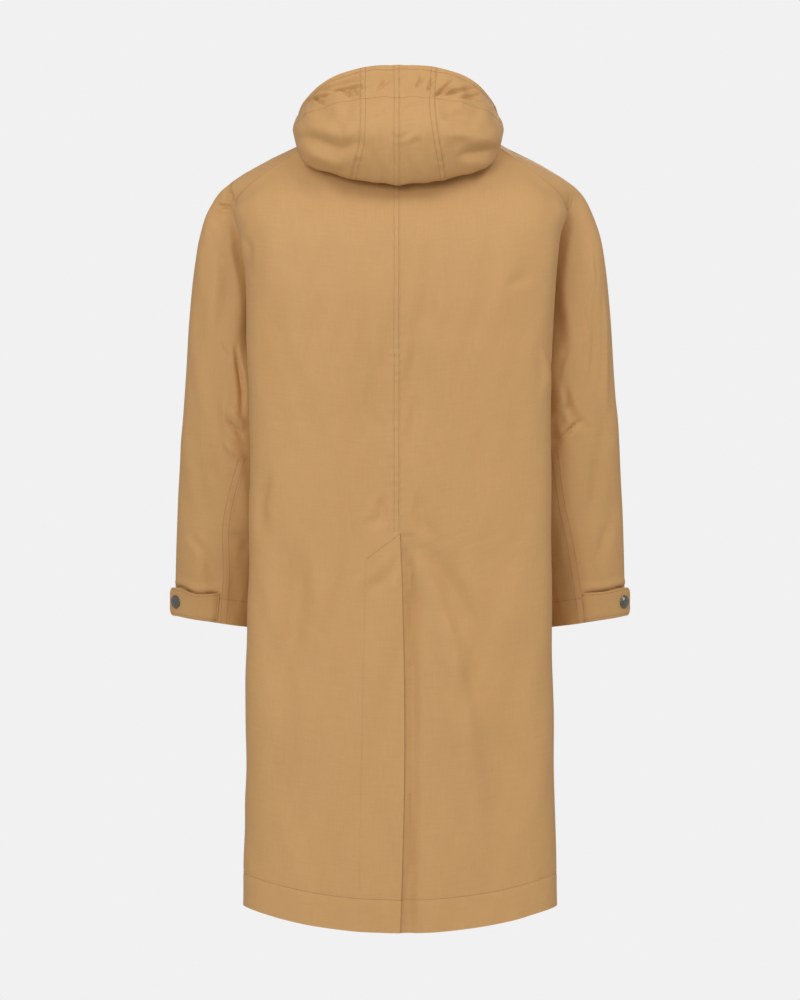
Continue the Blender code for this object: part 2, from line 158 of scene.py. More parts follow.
# Sleeve, a row for each ring: distance from the seam over the shoulder, outer point,
# inner point and half depth.
# run, outer_x, outer_y, outer_z, inner_x, inner_y, inner_z, half_depth
SLEEVE = in_metres((
    (190, 259.3, 8, -102, 181, 29, -308, 46),
    (235, 276.5, 9, -138, 183, 31, -320, 50),
    (300, 288, 10, -195, 183.5, 34, -335, 55),
    (372, 295.5, 13, -268, 183.5, 33, -355, 59),
    (445, 300, 16, -340, 182.5, 32, -392, 60.5),
    (515, 305, 21, -410, 182, 31, -437, 59.5),
    (595, 310.5, 28, -490, 184.5, 33, -507, 57),
    (675, 314.5, 36, -570, 190.5, 38, -585, 53),
    (735, 316.5, 42, -630, 198.5, 43, -644, 49),
    (788, 317, 46, -684, 207, 46, -700.5, 46),
))
CUFF_RUN = SLEEVE[-1][0]

# Hood, a row for each place from the middle of the back round to the front: how far round,
# then the roll above the neck seam, the layer on the coat, the lower fold, the belly and the rim.
# round, roll_x, roll_y, roll_z, under_x, under_y, under_z, fold_x, fold_y, fold_z,
# belly_x, belly_y, belly_z, rim_x, rim_y, rim_z
HOOD = (
    (0.00, 0.000, -0.080, 0.006, 0.000, -0.106, -0.045, 0.000, -0.136, -0.0915,
     0.000, -0.171, -0.030, 0.000, -0.122, 0.0735),
    (0.22, 0.045, -0.076, 0.010, 0.057, -0.099, -0.040, 0.070, -0.126, -0.0810,
     0.072, -0.161, -0.026, 0.064, -0.115, 0.0720),
    (0.40, 0.084, -0.051, 0.027, 0.098, -0.087, -0.016, 0.118, -0.107, -0.0600,
     0.131, -0.121, -0.020, 0.1135, -0.092, 0.0555),
    (0.56, 0.096, -0.008, 0.031, 0.112, -0.023, 0.004, 0.135, -0.033, -0.0150,
     0.148, -0.044, -0.001, 0.1385, -0.040, 0.0285),
    (0.72, 0.086, 0.040, 0.014, 0.100, 0.045, -0.001, 0.113, 0.050, -0.0130,
     0.122, 0.052, 0.001, 0.112, 0.048, 0.0180),
    (0.88, 0.050, 0.082, -0.020, 0.056, 0.092, -0.029, 0.062, 0.101, -0.0350,
     0.067, 0.107, -0.024, 0.060, 0.101, -0.0030),
    (1.00, 0.00015, 0.096, -0.038, 0.00015, 0.105, -0.045, 0.00015, 0.115, -0.0500,
     0.00015, 0.121, -0.040, 0.00015, 0.114, -0.0180),
)

# Seam between a middle and a side panel of the hood: share of the way down to the rim, how far round.
HOOD_SEAMS = {
    -1: ((0.0, 0.200), (0.45, 0.210), (0.56, 0.185), (0.65, 0.171), (0.74, 0.171), (1.0, 0.188)),
    1: ((0.0, 0.200), (0.45, 0.192), (0.56, 0.177), (0.65, 0.164), (0.74, 0.154), (1.0, 0.173)),
}
HOOD_UNDERLAP = 0.016  # how far round a side panel reaches under the middle one
HOOD_FULL = 0.008  # how far the lower sides of the hood fill out
HOOD_FULL_WAY = (0.78, -0.30, -0.55)  # and which way
HOOD_MIDDLE = 0.155  # how far round a middle panel's tunnel is read
HOOD_OUTSIDE = 0.317  # share of the way to the rim at which the seams come into view
HOOD_NARROW = {-1: 0.0, 1: 0.005}  # how far its sides are drawn in

# How the rim of the hood sinks: how far round, how far down.
HOOD_SAG = (
    (0.0, -0.001), (0.10, 0.0), (0.20, 0.003), (0.30, 0.0048), (0.38, 0.0078),
    (0.46, 0.0094), (0.54, 0.0086), (0.66, 0.0040), (0.80, 0.0), (1.0, 0.0),
)

# Drawcord tunnel of the hood: how far round, distance of its stitching from the rim.
TUNNEL = (
    (0.0, 0.055), (0.15, 0.055), (0.30, 0.050), (0.45, 0.038), (0.56, 0.027), (0.72, 0.020), (1.0, 0.018),
)

# The largest folds of the back: start and end of each trough as x and z, its half width and depth.
# start_x, start_z, end_x, end_z, half_width, depth
FOLDS = in_metres((
    (42, -590, 75, -720, 30, 6),
    (-50, -380, -40, -560, 24, 4),
    (40, -190, 16, -420, 28, 4),
    (-150, -600, -165, -800, 30, 5),
    (150, -700, 140, -960, 34, 5),
))

# Creases of the back: start and end as world x and z, half width, depth; a ridge has a negative depth.
BACK_CREASES = in_metres((
    (-212, -160, -207.5, -205, 4.5, 3.4),
    (-50, -250, -43, -385, 9, 2.5),
    (-44, -357, -33.5, -425, 6, 2.4),
    (-19, -520, -37, -556, 7, 3.4),
    (-75.7, -480, -74.3, -690, 11, 2.8),
    (50, -165, 18, -300, 11, 3),
    (20, -300, 17.5, -400, 8, 2.1),
    (17.1, -385, 21.1, -470, 7, 2.1),
    (25.2, -514, 38.9, -576, 8, 3),
    (-3.4, -600, -37.5, -650, 8, 2.5),
    (50, -595, 96, -715, 15, 3.6),
    (98, -720, 124, -880, 18, 3.4),
    (-183.5, -490, -193, -566, 8, 4.2),
    (-137.1, -600, -156.2, -794, 14, 3.4),
    (-146, -780, -183, -985, 15, 4.6),
    (197, -315, 203, -372, 4.5, -3.4),
    (152, -235, 172, -205, 9, 2.1),
    (-110, -180, -125, -330, 14, 2.1),
    (115, -330, 108, -520, 16, 2.5),
))

# Folded edges of the back, steep on one side: start and end as world x and z, height,
# then how far it reaches on the left and on the right.
# start_x, start_z, end_x, end_z, height, left_width, right_width
BACK_EDGES = in_metres((
    (33, -595, 70, -700, 7.8, 30, 11),
    (64, -680, 96, -830, 8.6, 32, 12),
    (92, -800, 109, -1010, 7, 36, 17),
    (-156, -640, -164, -860, 2.6, 14, 26),
))

# Creases of the back half of the sleeves, in the same columns; negative x is the left sleeve.
SLEEVE_CREASES = in_metres((
    (-238, -76, -239.5, -110, 5, 6.2),
    (-256, -109.5, -232, -111, 3, 3.8),
    (-254, -116.5, -234, -117, 3, -1.4),
    (-264, -137, -239, -180, 6, -2),
    (-231, -145, -228, -300, 11.5, -6.8),
    (-250, -302, -238, -325, 2.8, 1.8),
    (-226.5, -310, -219, -400, 3.6, 5),
    (-241, -406, -222, -432, 2.8, 5),
    (-234, -396, -218, -418, 4.2, -3),
    (-245, -440, -220, -464, 4, -3.2),
    (-242, -376, -245, -448, 6, -2.2),
    (-260, -464, -258, -496, 5, 1.4),
    (-290, -570, -256, -633, 6.5, 2.4),
    (-227, -564, -212, -590, 8, 3),
    (-295, -300, -293, -430, 9, 1.2),
    (243.5, -90, 234.5, -118, 3, 1),
    (269, -175, 264, -260, 2.8, -2),
    (264, -250, 260, -350, 3, -2.2),
    (284, -235, 290, -400, 3.6, -2.4),
    (228, -368, 251, -418, 5, 5.6),
    (254, -413, 212, -440, 4, 5.6),
    (233, -385, 225, -424, 8.5, 4),
    (230, -308, 223, -364, 7, 2.6),
    (240, -140, 233, -330, 12, -7),
    (230, -310, 223, -430, 10, -3.4),
    (275, -460, 264, -550, 8, 1.6),
    (290, -550, 270, -630, 8, 1.8),
))

# Folded edges over the shoulders, in the same columns as those of the back.
SHOULDER_EDGES = in_metres((
    (-231.2, -70, -233, -113, 6.2, 3.2, 22),
    (244, -84, 231.5, -118, 2.2, 22, 4.5),
))

# Creases of the front half of the sleeves, not shown in the photo, of the same kind.
SLEEVE_FRONT_CREASES = in_metres((
    (-260, -365, -215, -390, 7, 6.6),
    (-270, -400, -225, -416, 6, 5.6),
    (-282, -220, -262, -330, 8, 3.6),
    (-285, -520, -250, -600, 8, 4),
    (264, -355, 215, -382, 6.5, 6.6),
    (272, -395, 230, -414, 6, 5.1),
    (280, -210, 264, -320, 8, 3.6),
    (288, -500, 256, -585, 8, 4),
))

# Creases of the fronts, not shown in the photo, of the same kind as those of the back.
FRONT_CREASES = in_metres((
    (-150, -230, -90, -360, 12, 1.6),
    (-120, -520, -135, -780, 16, 2.2),
    (-80, -680, -95, -980, 18, 2.2),
    (145, -240, 85, -390, 12, 1.8),
    (105, -460, 125, -700, 15, 2),
    (90, -740, 110, -1020, 18, 2.4),
))

# Creases of the hood where it faces back, in the same columns.
HOOD_CREASES = in_metres((
    (-130, 27, -80, 43, 2.6, 6.2),
    (-100, 41, -48, 44, 2.4, 6.2),
    (-112, 40, -54, 57, 2.8, 5.2),
    (-82, 41, -66, 31, 2.2, 4.4),
    (-67, 40, -54, 32, 2, 4),
    (-122, 32, -106, 23, 2.2, 4.4),
    (47, 31, 72, 50, 2.8, 6.2),
    (60, 33, 102, 44, 2.6, 5.6),
    (82, 27, 108, 35, 2.6, 4.6),
    (21, 41, 31.5, 58.6, 2.4, 3.6),
    (37, 38, 46, 56.5, 2.4, 3.6),
    (-32, 39, -16, 53, 2.6, 3),
    (-39.7, 2.3, -14.7, 14.7, 4.2, 1.8),
    (4.1, 12.7, 18.7, 25.2, 4, 1.8),
    (8.3, -37.4, 24.9, -20.7, 5, -1.8),
    (58.3, -2, 87.6, 2.3, 4.8, 1.8),
    (-140, -23, -79, -43, 8.8, 5.9),
    (-82, -43, -50, -36, 9, 3),
    (-125, -50, -70, -62, 9, -3.2),
    (-115, 6, -65, -6, 11, 2.4),
    (83, -54, 137, -38, 7.8, 5.1),
    (65, -25, 138, -30, 8.5, -3),
    (62, 5, 112, -6, 11, 3.2),
))

# Seam down the back of each sleeve, from the underarm side to the cuff: world x and z.
SLEEVE_SEAMS = {
    -1: ((-0.2211, -0.4640), (-0.2420, -0.5500), (-0.2430, -0.6300), (-0.2476, -0.6960)),
    1: ((0.2141, -0.4457), (0.2253, -0.5266), (0.2385, -0.5866), (0.2476, -0.6438), (0.2546, -0.6960)),
}

# How each cuff tab gapes at its upper edge: how far it stands off there and how far the edge dips.
TAB_GAPE = {-1: (0.0042, 0.0052), 1: (0.0022, 0.0018)}

# Places at which the sheets are laid out
LEVELS = np.concatenate([np.linspace(0, UNDERARM, 290), np.linspace(UNDERARM, NECK, 91)[1:]])
BACK_ACROSS = np.concatenate([
    np.linspace(0.0, 0.06, 10), np.linspace(0.06, 0.60, 38)[1:], np.linspace(0.60, 1.0, 24)[1:],
])
FRONT_ACROSS = np.linspace(0.0, 1.0, 44)
SLEEVE_RUNS = np.linspace(0.0, CUFF_RUN, 198)
HOOD_ROUNDS = np.linspace(0.0, 1.0, 301)
HOOD_DOWNS = np.concatenate([
    np.linspace(0.0, 0.45, 58), np.linspace(0.45, 0.80, 66)[1:], np.linspace(0.80, 1.0, 68)[1:],
])
HOOD_MIDDLE_COLUMNS = 36
HOOD_SIDE_COLUMNS = 124
TAB_COLUMNS = 56
TAB_ROWS = 24

# Threads: name of the finish, its tone, and half its width as a share of the setting.
PLAIN_THREAD = ("tan thread", 1.0, 0.5)
VENT_THREAD = ("pale thread", 2.1, 0.3)
THREAD_LIFT = 0.00012  # how far the middle of a stitch lies above the cloth
THREAD_DIP = 0.0001  # how far its ends go down

# Dome of the snap cap: how far each ring goes in and up from the last one.
CAP_RINGS = (
    (0.0005, 0.0003), (0.0007, 0.0), (0.0004, -0.0002), (0.0010, 0.0007),
    (0.0017, 0.0007), (0.0020, 0.0004), (0.0016, 0.0001),
)
CAP_DEPTH = 0.0010  # height of its straight side

# Lights: name, place, size and share of the key light's power.
LIGHTS = (
    ("near light", (-1.10, -3.20, 0.50), 1.4, 1.0),
    ("upper right light", (1.40, -2.10, 2.10), 1.4, 0.66),
    ("upper left light", (-1.40, -2.10, 2.10), 1.4, 0.42),
    ("right side light", (3.20, -0.80, 0.40), 1.2, 0.28),
    ("far light", (0.80, 3.20, 1.20), 1.6, 0.36),
)
LIGHT_TARGET = (0.0, 0.0, -0.40)
CAMERA_HEIGHT = -0.521
FLOOR_HEIGHT = -1.36
FLOOR_RADIUS = 0.98

SEWN = {}  # stitch lines by the name of the piece of stitching, filled as the cloth is cut
TAB_SPOTS = {}  # where each snap sits, filled as the tabs are cut


# Lines and fields

def curve_through(knots, values, at, steady=False):
    """Smooth curve through values at rising knots; a steady one doesn't overshoot between close values."""
    knots = np.asarray(knots, float)
    values = np.asarray(values, float)
    at = np.clip(np.asarray(at, float), knots[0], knots[-1])
    slopes = np.gradient(values, knots, axis=0)
    if steady:
        steps = np.abs(np.diff(values, axis=0))
        limit = 1.5 * np.minimum(steps[:-1], steps[1:])
        slopes[1:-1] = np.clip(slopes[1:-1], -limit, limit)
    first = np.clip(np.searchsorted(knots, at, side="right") - 1, 0, len(knots) - 2)
    step = knots[first + 1] - knots[first]
    part = (at - knots[first]) / step
    shape = part.shape + (1,) * (values.ndim - 1)
    step = step.reshape(shape)
    part = part.reshape(shape)
    rest = 1 - part
    return (
        (1 + 2 * part) * rest**2 * values[first]
        + part * rest**2 * step * slopes[first]
        + part**2 * (3 - 2 * part) * values[first + 1]
        - part**2 * rest * step * slopes[first + 1]
    )


def distances(points):
    """How far along a line each of its points is."""
    steps = np.linalg.norm(np.diff(points, axis=0), axis=1)
    return np.concatenate([[0.0], np.cumsum(steps)])


def spread_along(points, fractions):
    """Smooth line through a few points, read off at even fractions of its length."""
    fine = curve_through(distances(points), points, np.linspace(0, distances(points)[-1], 480))
    run = distances(fine)
    at = np.asarray(fractions) * run[-1]
    return np.stack([np.interp(at, run, fine[:, axis]) for axis in range(3)], axis=1)


def ease(value, start, end):
    """Rises smoothly from 0 at start to 1 at end."""
    part = np.clip((np.asarray(value, float) - start) / (end - start), 0, 1)
    return part * part * (3 - 2 * part)


def bump(value, middle, half_width):
    """Smooth hump of height 1."""
    return np.exp(-(((np.asarray(value, float) - middle) / half_width) ** 2))


def fold_depth(x, z):
    """How far the large folds press the back in at a place."""
    total = np.zeros_like(x)
    for start_x, start_z, end_x, end_z, half_width, depth in FOLDS:
        run = (start_z - z) / (start_z - end_z)
        middle = start_x + (end_x - start_x) * run
        fade = ease(run, -0.15, 0.25) * (1 - ease(run, 0.7, 1.2))
        total += depth * fade * bump(x, middle, half_width)
    return total


def crease_height(x, z, creases, lip=0.3, bend=0.45):
    """Height of the creased cloth: a soft bent trough along each line, with low lips beside it."""
    total = np.zeros_like(x)
    for start_x, start_z, end_x, end_z, half_width, depth in creases:
        run_x = end_x - start_x
        run_z = end_z - start_z
        length = math.hypot(run_x, run_z)
        run = ((x - start_x) * run_x + (z - start_z) * run_z) / length**2
        off = ((x - start_x) * run_z - (z - start_z) * run_x) / length
        sway = bend * half_width * np.sin(5.0 * run + 90 * start_x)
        width = half_width * (0.75 + 0.5 * np.clip(run, 0, 1))
        away = (off + sway) / width
        fade = ease(run, -0.2, 0.3) * (1 - ease(run, 0.65, 1.25))
        lips = bump(np.abs(away), 1.9, 0.8)
        total += depth * fade * (lip * lips - np.exp(-np.abs(away) ** 1.7))
    return total


def edge_height(x, z, edges):
    """Height of cloth that rises gently to a folded edge and drops steeply past it."""
    total = np.zeros_like(x)
    for start_x, start_z, end_x, end_z, height, left_width, right_width in edges:
        run = (start_z - z) / (start_z - end_z)
        off = x - (start_x + (end_x - start_x) * run)
        width = np.where(off < 0, left_width, right_width)
        fade = ease(run, -0.1, 0.25) * (1 - ease(run, 0.8, 1.3))
        total += height * fade * np.exp(-np.abs(off / width) ** 1.5)
    return total


def unevenness(x, z, seed):
    """Low broad swells that keep a hanging sheet from lying dead flat; longer up and down than across."""
    draw = np.random.default_rng(seed)
    total = np.zeros_like(x)
    for wave_x, wave_z, height in ((0.090, 0.40, 0.0008), (0.055, 0.23, 0.0005), (0.036, 0.120, 0.00025)):
        for turn in (-0.35, 0.0, 0.4):
            phase = draw.uniform(0, 2 * math.pi, 2)
            slanted = x + turn * 0.3 * z
            total += height * np.sin(2 * math.pi * slanted / wave_x + phase[0]) * np.sin(
                2 * math.pi * z / wave_z + phase[1])
    return total


def turned_hem(from_edge, across, width, rise, seed, reach):
    """Height of cloth that is doubled up to a line of stitching, which sinks in and puckers it."""
    doubled = 1 - ease(from_edge, width - HEM_STEP, width + HEM_STEP)
    sunk = STITCH_SINK * bump(from_edge, width, HEM_STEP)
    return rise * doubled + pucker(from_edge - width, across, seed, reach) - sunk


def pucker(from_line, along, seed, reach=0.007):
    """Small gathers that a line of stitching pulls into the cloth beside it."""
    draw = np.random.default_rng(seed)
    phase = draw.uniform(0, 2 * math.pi, 3)
    waves = (np.sin(2 * math.pi * along / 0.0125 + phase[0])
             + 0.8 * np.sin(2 * math.pi * along / 0.0193 + phase[1]))
    swell = 0.6 + 0.4 * np.sin(2 * math.pi * along / 0.083 + phase[2])
    return 0.00022 * waves * swell * bump(from_line, 0, reach)


# Sheets of cloth

class Cloth:
    """A sheet as a grid of points, with its outward directions and the distances along it."""

    def __init__(self, points, closed=False):
        self.points = points
        self.closed = closed
        self.measure()

    def measure(self):
        """Works out the outward directions and the distances from the first column and the first row."""
        wide = self.points
        if self.closed:
            wide = np.concatenate([wide[:, -2:-1], wide, wide[:, 1:2]], axis=1)
        across = np.gradient(wide, axis=1)
        along = np.gradient(wide, axis=0)
        normal = np.cross(across, along)
        if self.closed:
            normal = normal[:, 1:-1]
        length = np.linalg.norm(normal, axis=2, keepdims=True)
        self.outward = normal / np.maximum(length, 1e-12)
        self.across = np.pad(np.cumsum(np.linalg.norm(np.diff(self.points, axis=1), axis=2), axis=1),
                             ((0, 0), (1, 0)))
        self.along = np.pad(np.cumsum(np.linalg.norm(np.diff(self.points, axis=0), axis=2), axis=0),
                            ((1, 0), (0, 0)))

    def push(self, height):
        """Moves the cloth out by a height at each point."""
        self.points = self.points + self.outward * height[:, :, None]
        self.measure()

    def world(self, side):
        """World x and z of its points."""
        return side * self.points[:, :, 0], self.points[:, :, 2]

    def from_last_column(self):
        """Distance of each point from the last column."""
        return self.across[:, -1:] - self.across

    def from_last_row(self):
        """Distance of each point from the last row."""
        return self.along[-1:] - self.along


def between(field, rows, columns):
    """Values of a grid read off between its points."""
    first_row = np.clip(np.floor(rows).astype(int), 0, field.shape[0] - 2)
    first_column = np.clip(np.floor(columns).astype(int), 0, field.shape[1] - 2)
    down = (rows - first_row)[:, None]
    over = (columns - first_column)[:, None]
    return (
        field[first_row, first_column] * (1 - down) * (1 - over)
        + field[first_row + 1, first_column] * down * (1 - over)
        + field[first_row, first_column + 1] * (1 - down) * over
        + field[first_row + 1, first_column + 1] * down * over
    )


def beside(cloth, distance, last=False, start=0, end=None):
    """Line up a sheet at a distance from its first or last column, as rows and columns."""
    rows = np.arange(start, end if end is not None else len(cloth.points))
    places = np.arange(cloth.points.shape[1])
    columns = []
    for row in rows:
        reach = cloth.across[row]
        target = reach[-1] - distance if last else distance
        columns.append(np.interp(target, reach, places))
    return rows.astype(float), np.array(columns)


def above(cloth, distance, last=False, end=None):
    """Line across a sheet at a distance from its first or last row; the distance may differ by column."""
    columns = np.arange(end if end is not None else cloth.points.shape[1])
    wanted = np.broadcast_to(np.asarray(distance, float), (cloth.points.shape[1],))
    places = np.arange(len(cloth.points))
    rows = []
    for column in columns:
        reach = cloth.along[:, column]
        target = reach[-1] - wanted[column] if last else wanted[column]
        rows.append(np.interp(target, reach, places))
    return np.array(rows), columns.astype(float)


def trace(cloth, corners, side):
    """Line over the back of a sheet through places given as world x and z, as rows and columns."""
    corners = np.array([(side * x, 0.0, z) for x, z in corners])
    run = distances(corners)
    at = np.arange(0, run[-1], 0.003)
    line = curve_through(run, corners, at)
    flat = cloth.points.reshape(-1, 3)
    turned_away = (-cloth.outward[:, :, 1] < 0.05).reshape(-1)
    slope_row = np.gradient(cloth.points, axis=0)
    slope_column = np.gradient(cloth.points, axis=1)
    width = cloth.points.shape[1]
    rows = []
    columns = []
    for place in line:
        miss = (flat[:, 0] - place[0]) ** 2 + (flat[:, 2] - place[2]) ** 2 + turned_away
        nearest = int(np.argmin(miss))
        row = float(nearest // width)
        column = float(nearest % width)
        for _ in range(3):
            spot = np.array([row]), np.array([column])
            gap = place - between(cloth.points, *spot)[0]
            by_row = between(slope_row, *spot)[0]
            by_column = between(slope_column, *spot)[0]
            size = by_row[0] * by_column[2] - by_row[2] * by_column[0]
            row += np.clip((gap[0] * by_column[2] - gap[2] * by_column[0]) / size, -1, 1)
            column += np.clip((by_row[0] * gap[2] - by_row[2] * gap[0]) / size, -1, 1)
        rows.append(np.clip(row, 0, cloth.points.shape[0] - 1))
        columns.append(np.clip(column, 0, width - 1))
    return np.array(rows), np.array(columns)


def from_polyline(x, z, corners):
    """Distance of places from a line through corners, all as x and z."""
    best = np.full(x.shape, 1.0)
    for (start_x, start_z), (end_x, end_z) in zip(corners, corners[1:]):
        run_x = end_x - start_x
        run_z = end_z - start_z
        run = np.clip(((x - start_x) * run_x + (z - start_z) * run_z) / (run_x**2 + run_z**2), 0, 1)
        best = np.minimum(best, np.hypot(x - start_x - run * run_x, z - start_z - run * run_z))
    return best


def sew(group, cloth, line, side):
    """Keeps a stitch line of a sheet, for the stitching to be made along it."""
    points = between(cloth.points, *line)
    outward = between(cloth.outward, *line)
    turn_over = np.array((side, 1.0, 1.0))
    SEWN.setdefault(group, []).append((points * turn_over, outward * turn_over))


def finish_piece(piece, node):
    """Hangs a finished piece on the coat in place of its solid."""
    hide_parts(node)
    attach(piece, "root")


def only(piece):
    """Makes one object the selected and active one."""
    bpy.ops.object.select_all(action="DESELECT")
    piece.select_set(True)
    bpy.context.view_layer.objects.active = piece


def apply_modifier(piece, kind, **values):
    """Adds a modifier with some of its values set to a piece and applies it."""
    only(piece)
    modifier = piece.modifiers.new(kind.lower(), kind)
    for name, value in values.items():
        setattr(modifier, name, value)
    bpy.ops.object.modifier_apply(modifier=modifier.name)


def lay_cloth(node, cloth, side, looks, thickness):
    """Makes a sheet into a piece of cloth with thickness and a weave map in metres."""
    points = cloth.points * np.array((side, 1.0, 1.0))
    weave = np.stack([cloth.across, cloth.along], axis=2)
    if side < 0:
        points = points[:, ::-1]
        weave = weave[:, ::-1]
    rows, columns = points.shape[:2]
    index = np.arange(rows * columns).reshape(rows, columns)
    faces = np.stack([index[:-1, :-1], index[:-1, 1:], index[1:, 1:], index[1:, :-1]], axis=2)
    faces = faces.reshape(-1, 4)
    mesh = bpy.data.meshes.new(node + "_cloth")
    mesh.from_pydata(points.reshape(-1, 3).tolist(), [], faces.tolist())
    layer = mesh.uv_layers.new(name="weave")
    layer.data.foreach_set("uv", weave.reshape(-1, 2)[faces.reshape(-1)].reshape(-1))
    mesh.materials.append(looks)
    piece = bpy.data.objects.new(node + "_cloth", mesh)
    bpy.context.scene.collection.objects.link(piece)
    if cloth.closed:
        mesh_data = bmesh.new()
        mesh_data.from_mesh(mesh)
        bmesh.ops.remove_doubles(mesh_data, verts=mesh_data.verts, dist=WELD)
        mesh_data.to_mesh(mesh)
        mesh_data.free()
    apply_modifier(piece, "SOLIDIFY", thickness=thickness, offset=-1.0)
    bpy.ops.object.shade_smooth_by_angle(angle=math.radians(50))
    finish_piece(piece, node)
    return piece


# Forms of the coat

def back_row(level, start_x, fractions, side):
    """Points of one level of the back, from the middle (or past it) round to its edge."""
    middle_z, middle_y, fold_x, fold_y, fold_z, edge_x, edge_y, edge_z = curve_through(
        range(len(BACK)), BACK, level, steady=True
    )
    shares = [start_x / fold_x] + [share for share in (0.0, 0.3, 0.55, 0.75, 0.88, 0.96)
                                   if share > start_x / fold_x + 0.1]
    line = []
    power = ARCH_LOW + (ARCH - ARCH_LOW) * float(ease(level, 8.0, 10.5))
    for share in shares:
        arch = (1 - abs(share) ** power) ** (1 / power)
        line.append((share * fold_x,
                     fold_y + (middle_y - fold_y) * arch,
                     middle_z + (fold_z - middle_z) * share**2))
    line.append((fold_x, fold_y, fold_z))
    line.append((0.82 * fold_x + 0.18 * edge_x,
                 0.60 * fold_y + 0.40 * edge_y,
                 0.60 * fold_z + 0.40 * edge_z))
    line.append((edge_x, edge_y, edge_z))
    row = spread_along(np.array(line), fractions)
    over_shoulder = float(ease(level, 9.8, 11.0))
    if over_shoulder > 0:
        soft = row.copy()
        for _ in range(SHOULDER_ROUNDS):
            soft[1:-1] = (soft[:-2] + 2 * soft[1:-1] + soft[2:]) / 4
        row = row + over_shoulder * (soft - row)
    row[:, 1] += fold_depth(side * row[:, 0], row[:, 2]) * (1 - ease(fractions, 0.60, 0.80))
    return row


def back_points(lapping):
    """Back panel: the lapping one ends near the middle, the other goes on under it below the vent top."""
    rows = []
    for level in LEVELS:
        height = curve_through(range(len(BACK)), BACK, level, steady=True)[0]
        below = np.clip((VENT_TOP - height) / (VENT_TOP - BACK[0][0]), 0, 1)
        if lapping:
            start = -VENT_BOW * math.sin(math.pi * below)
            rows.append(back_row(level, start, BACK_ACROSS, -1))
        else:
            start = -VENT_LAP * np.clip((VENT_TOP - height) / VENT_SLANT, 0, 1)
            row = back_row(level, start, BACK_ACROSS, 1)
            lap_edge = VENT_BOW * math.sin(math.pi * below)
            near = 1 - ease(row[:, 0], lap_edge + 0.010, lap_edge + 0.026)
            lower = 1 - ease(height, VENT_TOP - 0.007, VENT_TOP + 0.002)
            spread = 0.0032 + 0.0046 * float(ease(VENT_TOP - height, 0.0, 0.06))
            hollow = bump(row[:, 0], lap_edge + 1.4 * spread, spread)
            opened = float(ease(VENT_TOP - height, 0.002, 0.050))
            row[:, 1] += VENT_DEPTH * near * lower + VENT_HOLLOW * hollow * opened
            rows.append(row)
    return np.array(rows)


def front_edge(level):
    """Edge of the front: the side seam, which it shares with the back, or the sleeve seam above it."""
    if level <= UNDERARM:
        return curve_through(range(len(BACK)), BACK, level, steady=True)[5:8]
    return curve_through(range(UNDERARM, NECK + 1), FRONT[UNDERARM:], level, steady=True)[2:5]


def front_row(level, fractions):
    """Points of one level of the front, from its edge to past the middle."""
    middle_z, middle_y = curve_through(range(len(FRONT)), FRONT, level, steady=True)[:2]
    edge_x, edge_y, edge_z = front_edge(level)
    line = [(edge_x, edge_y, edge_z)]
    for share in (0.97, 0.88, 0.72, 0.5, 0.25, 0.0, -FRONT_LAP / edge_x):
        arch = (1 - abs(share) ** FRONT_ROUND) ** (1 / FRONT_ROUND)
        line.append((share * edge_x,
                     edge_y + (middle_y - edge_y) * arch,
                     middle_z + (edge_z - middle_z) * share**2))
    return spread_along(np.array(line), fractions)


def front_points(lapping):
    """Front panel, of which the one that doesn't lap lies a little under the other past the middle."""
    rows = []
    for level in LEVELS:
        row = front_row(level, FRONT_ACROSS)
        if not lapping:
            row[:, 1] -= LAP_DEPTH * (1 - ease(row[:, 0], FRONT_LAP + 0.006, FRONT_LAP + 0.04))
        rows.append(row)
    return np.array(rows)


def sleeve_seam():
    """Seam of the sleeve from the underarm up the back, over the neck end and down the front."""
    upper = [level for level in LEVELS if level >= UNDERARM]
    back = curve_through(range(len(BACK)), BACK, upper, steady=True)[:, 5:8]
    front = np.array([front_edge(level) for level in upper])
    turn = curve_through(range(UNDERARM, NECK + 1), SLEEVE_TURN, upper)
    top = [back[-1] + (front[-1] - back[-1]) * share for share in (0.35, 0.65)]
    seam = np.concatenate([back, np.array(top), front[::-1]])
    seam[[0, -1], 0] += UNDERARM_STEP
    turns = np.concatenate([turn, (turn[-1] / 3, -turn[-1] / 3), -turn[::-1]])
    return seam, np.radians(turns)


def shoulder_fullness(run, turn):
    """How far the cloth stands out over the shoulder."""
    top = np.clip(np.cos(turn), 0, 1) ** 2
    height = SHOULDER_FULL * bump(run, SHOULDER_RUN, SHOULDER_SPREAD) * top
    return height[:, None] * np.array(SHOULDER_WAY)


def sleeve_points():
    """Sleeve from the cuff up to its seam at the body; the last column is the first again."""
    seam, seam_turn = sleeve_seam()
    even_turn = np.linspace(math.pi, -math.pi, len(seam))
    knots = [0.0] + [row[0] for row in SLEEVE]
    rows = []
    for run in SLEEVE_RUNS:
        turn = seam_turn + (even_turn - seam_turn) * ease(run, 0.20, 0.50)
        slack = float(ease(run, 0.22, 0.42) * (1 - ease(run, 0.62, 0.735)))
        power = 2 + SLEEVE_SQUARE * slack * (np.cos(turn) > 0)
        reach = (np.abs(np.cos(turn)) ** power + np.abs(np.sin(turn)) ** power) ** (-1 / power)
        full = 1 - SLEEVE_LEAN * slack * np.cos(turn) * (np.sin(turn) > 0)
        rings = [seam]
        for row in SLEEVE:
            outer = np.array(row[1:4])
            inner = np.array(row[4:7])
            ring = (outer + inner) / 2 + reach[:, None] * np.cos(turn)[:, None] * (outer - inner) / 2
            ring[:, 1] -= full * reach * row[7] * np.sin(turn)
            rings.append(ring)
        row = curve_through(knots, rings, np.array([run]))[0]
        rows.append(row + shoulder_fullness(run, turn))
    return np.array(rows)[::-1]


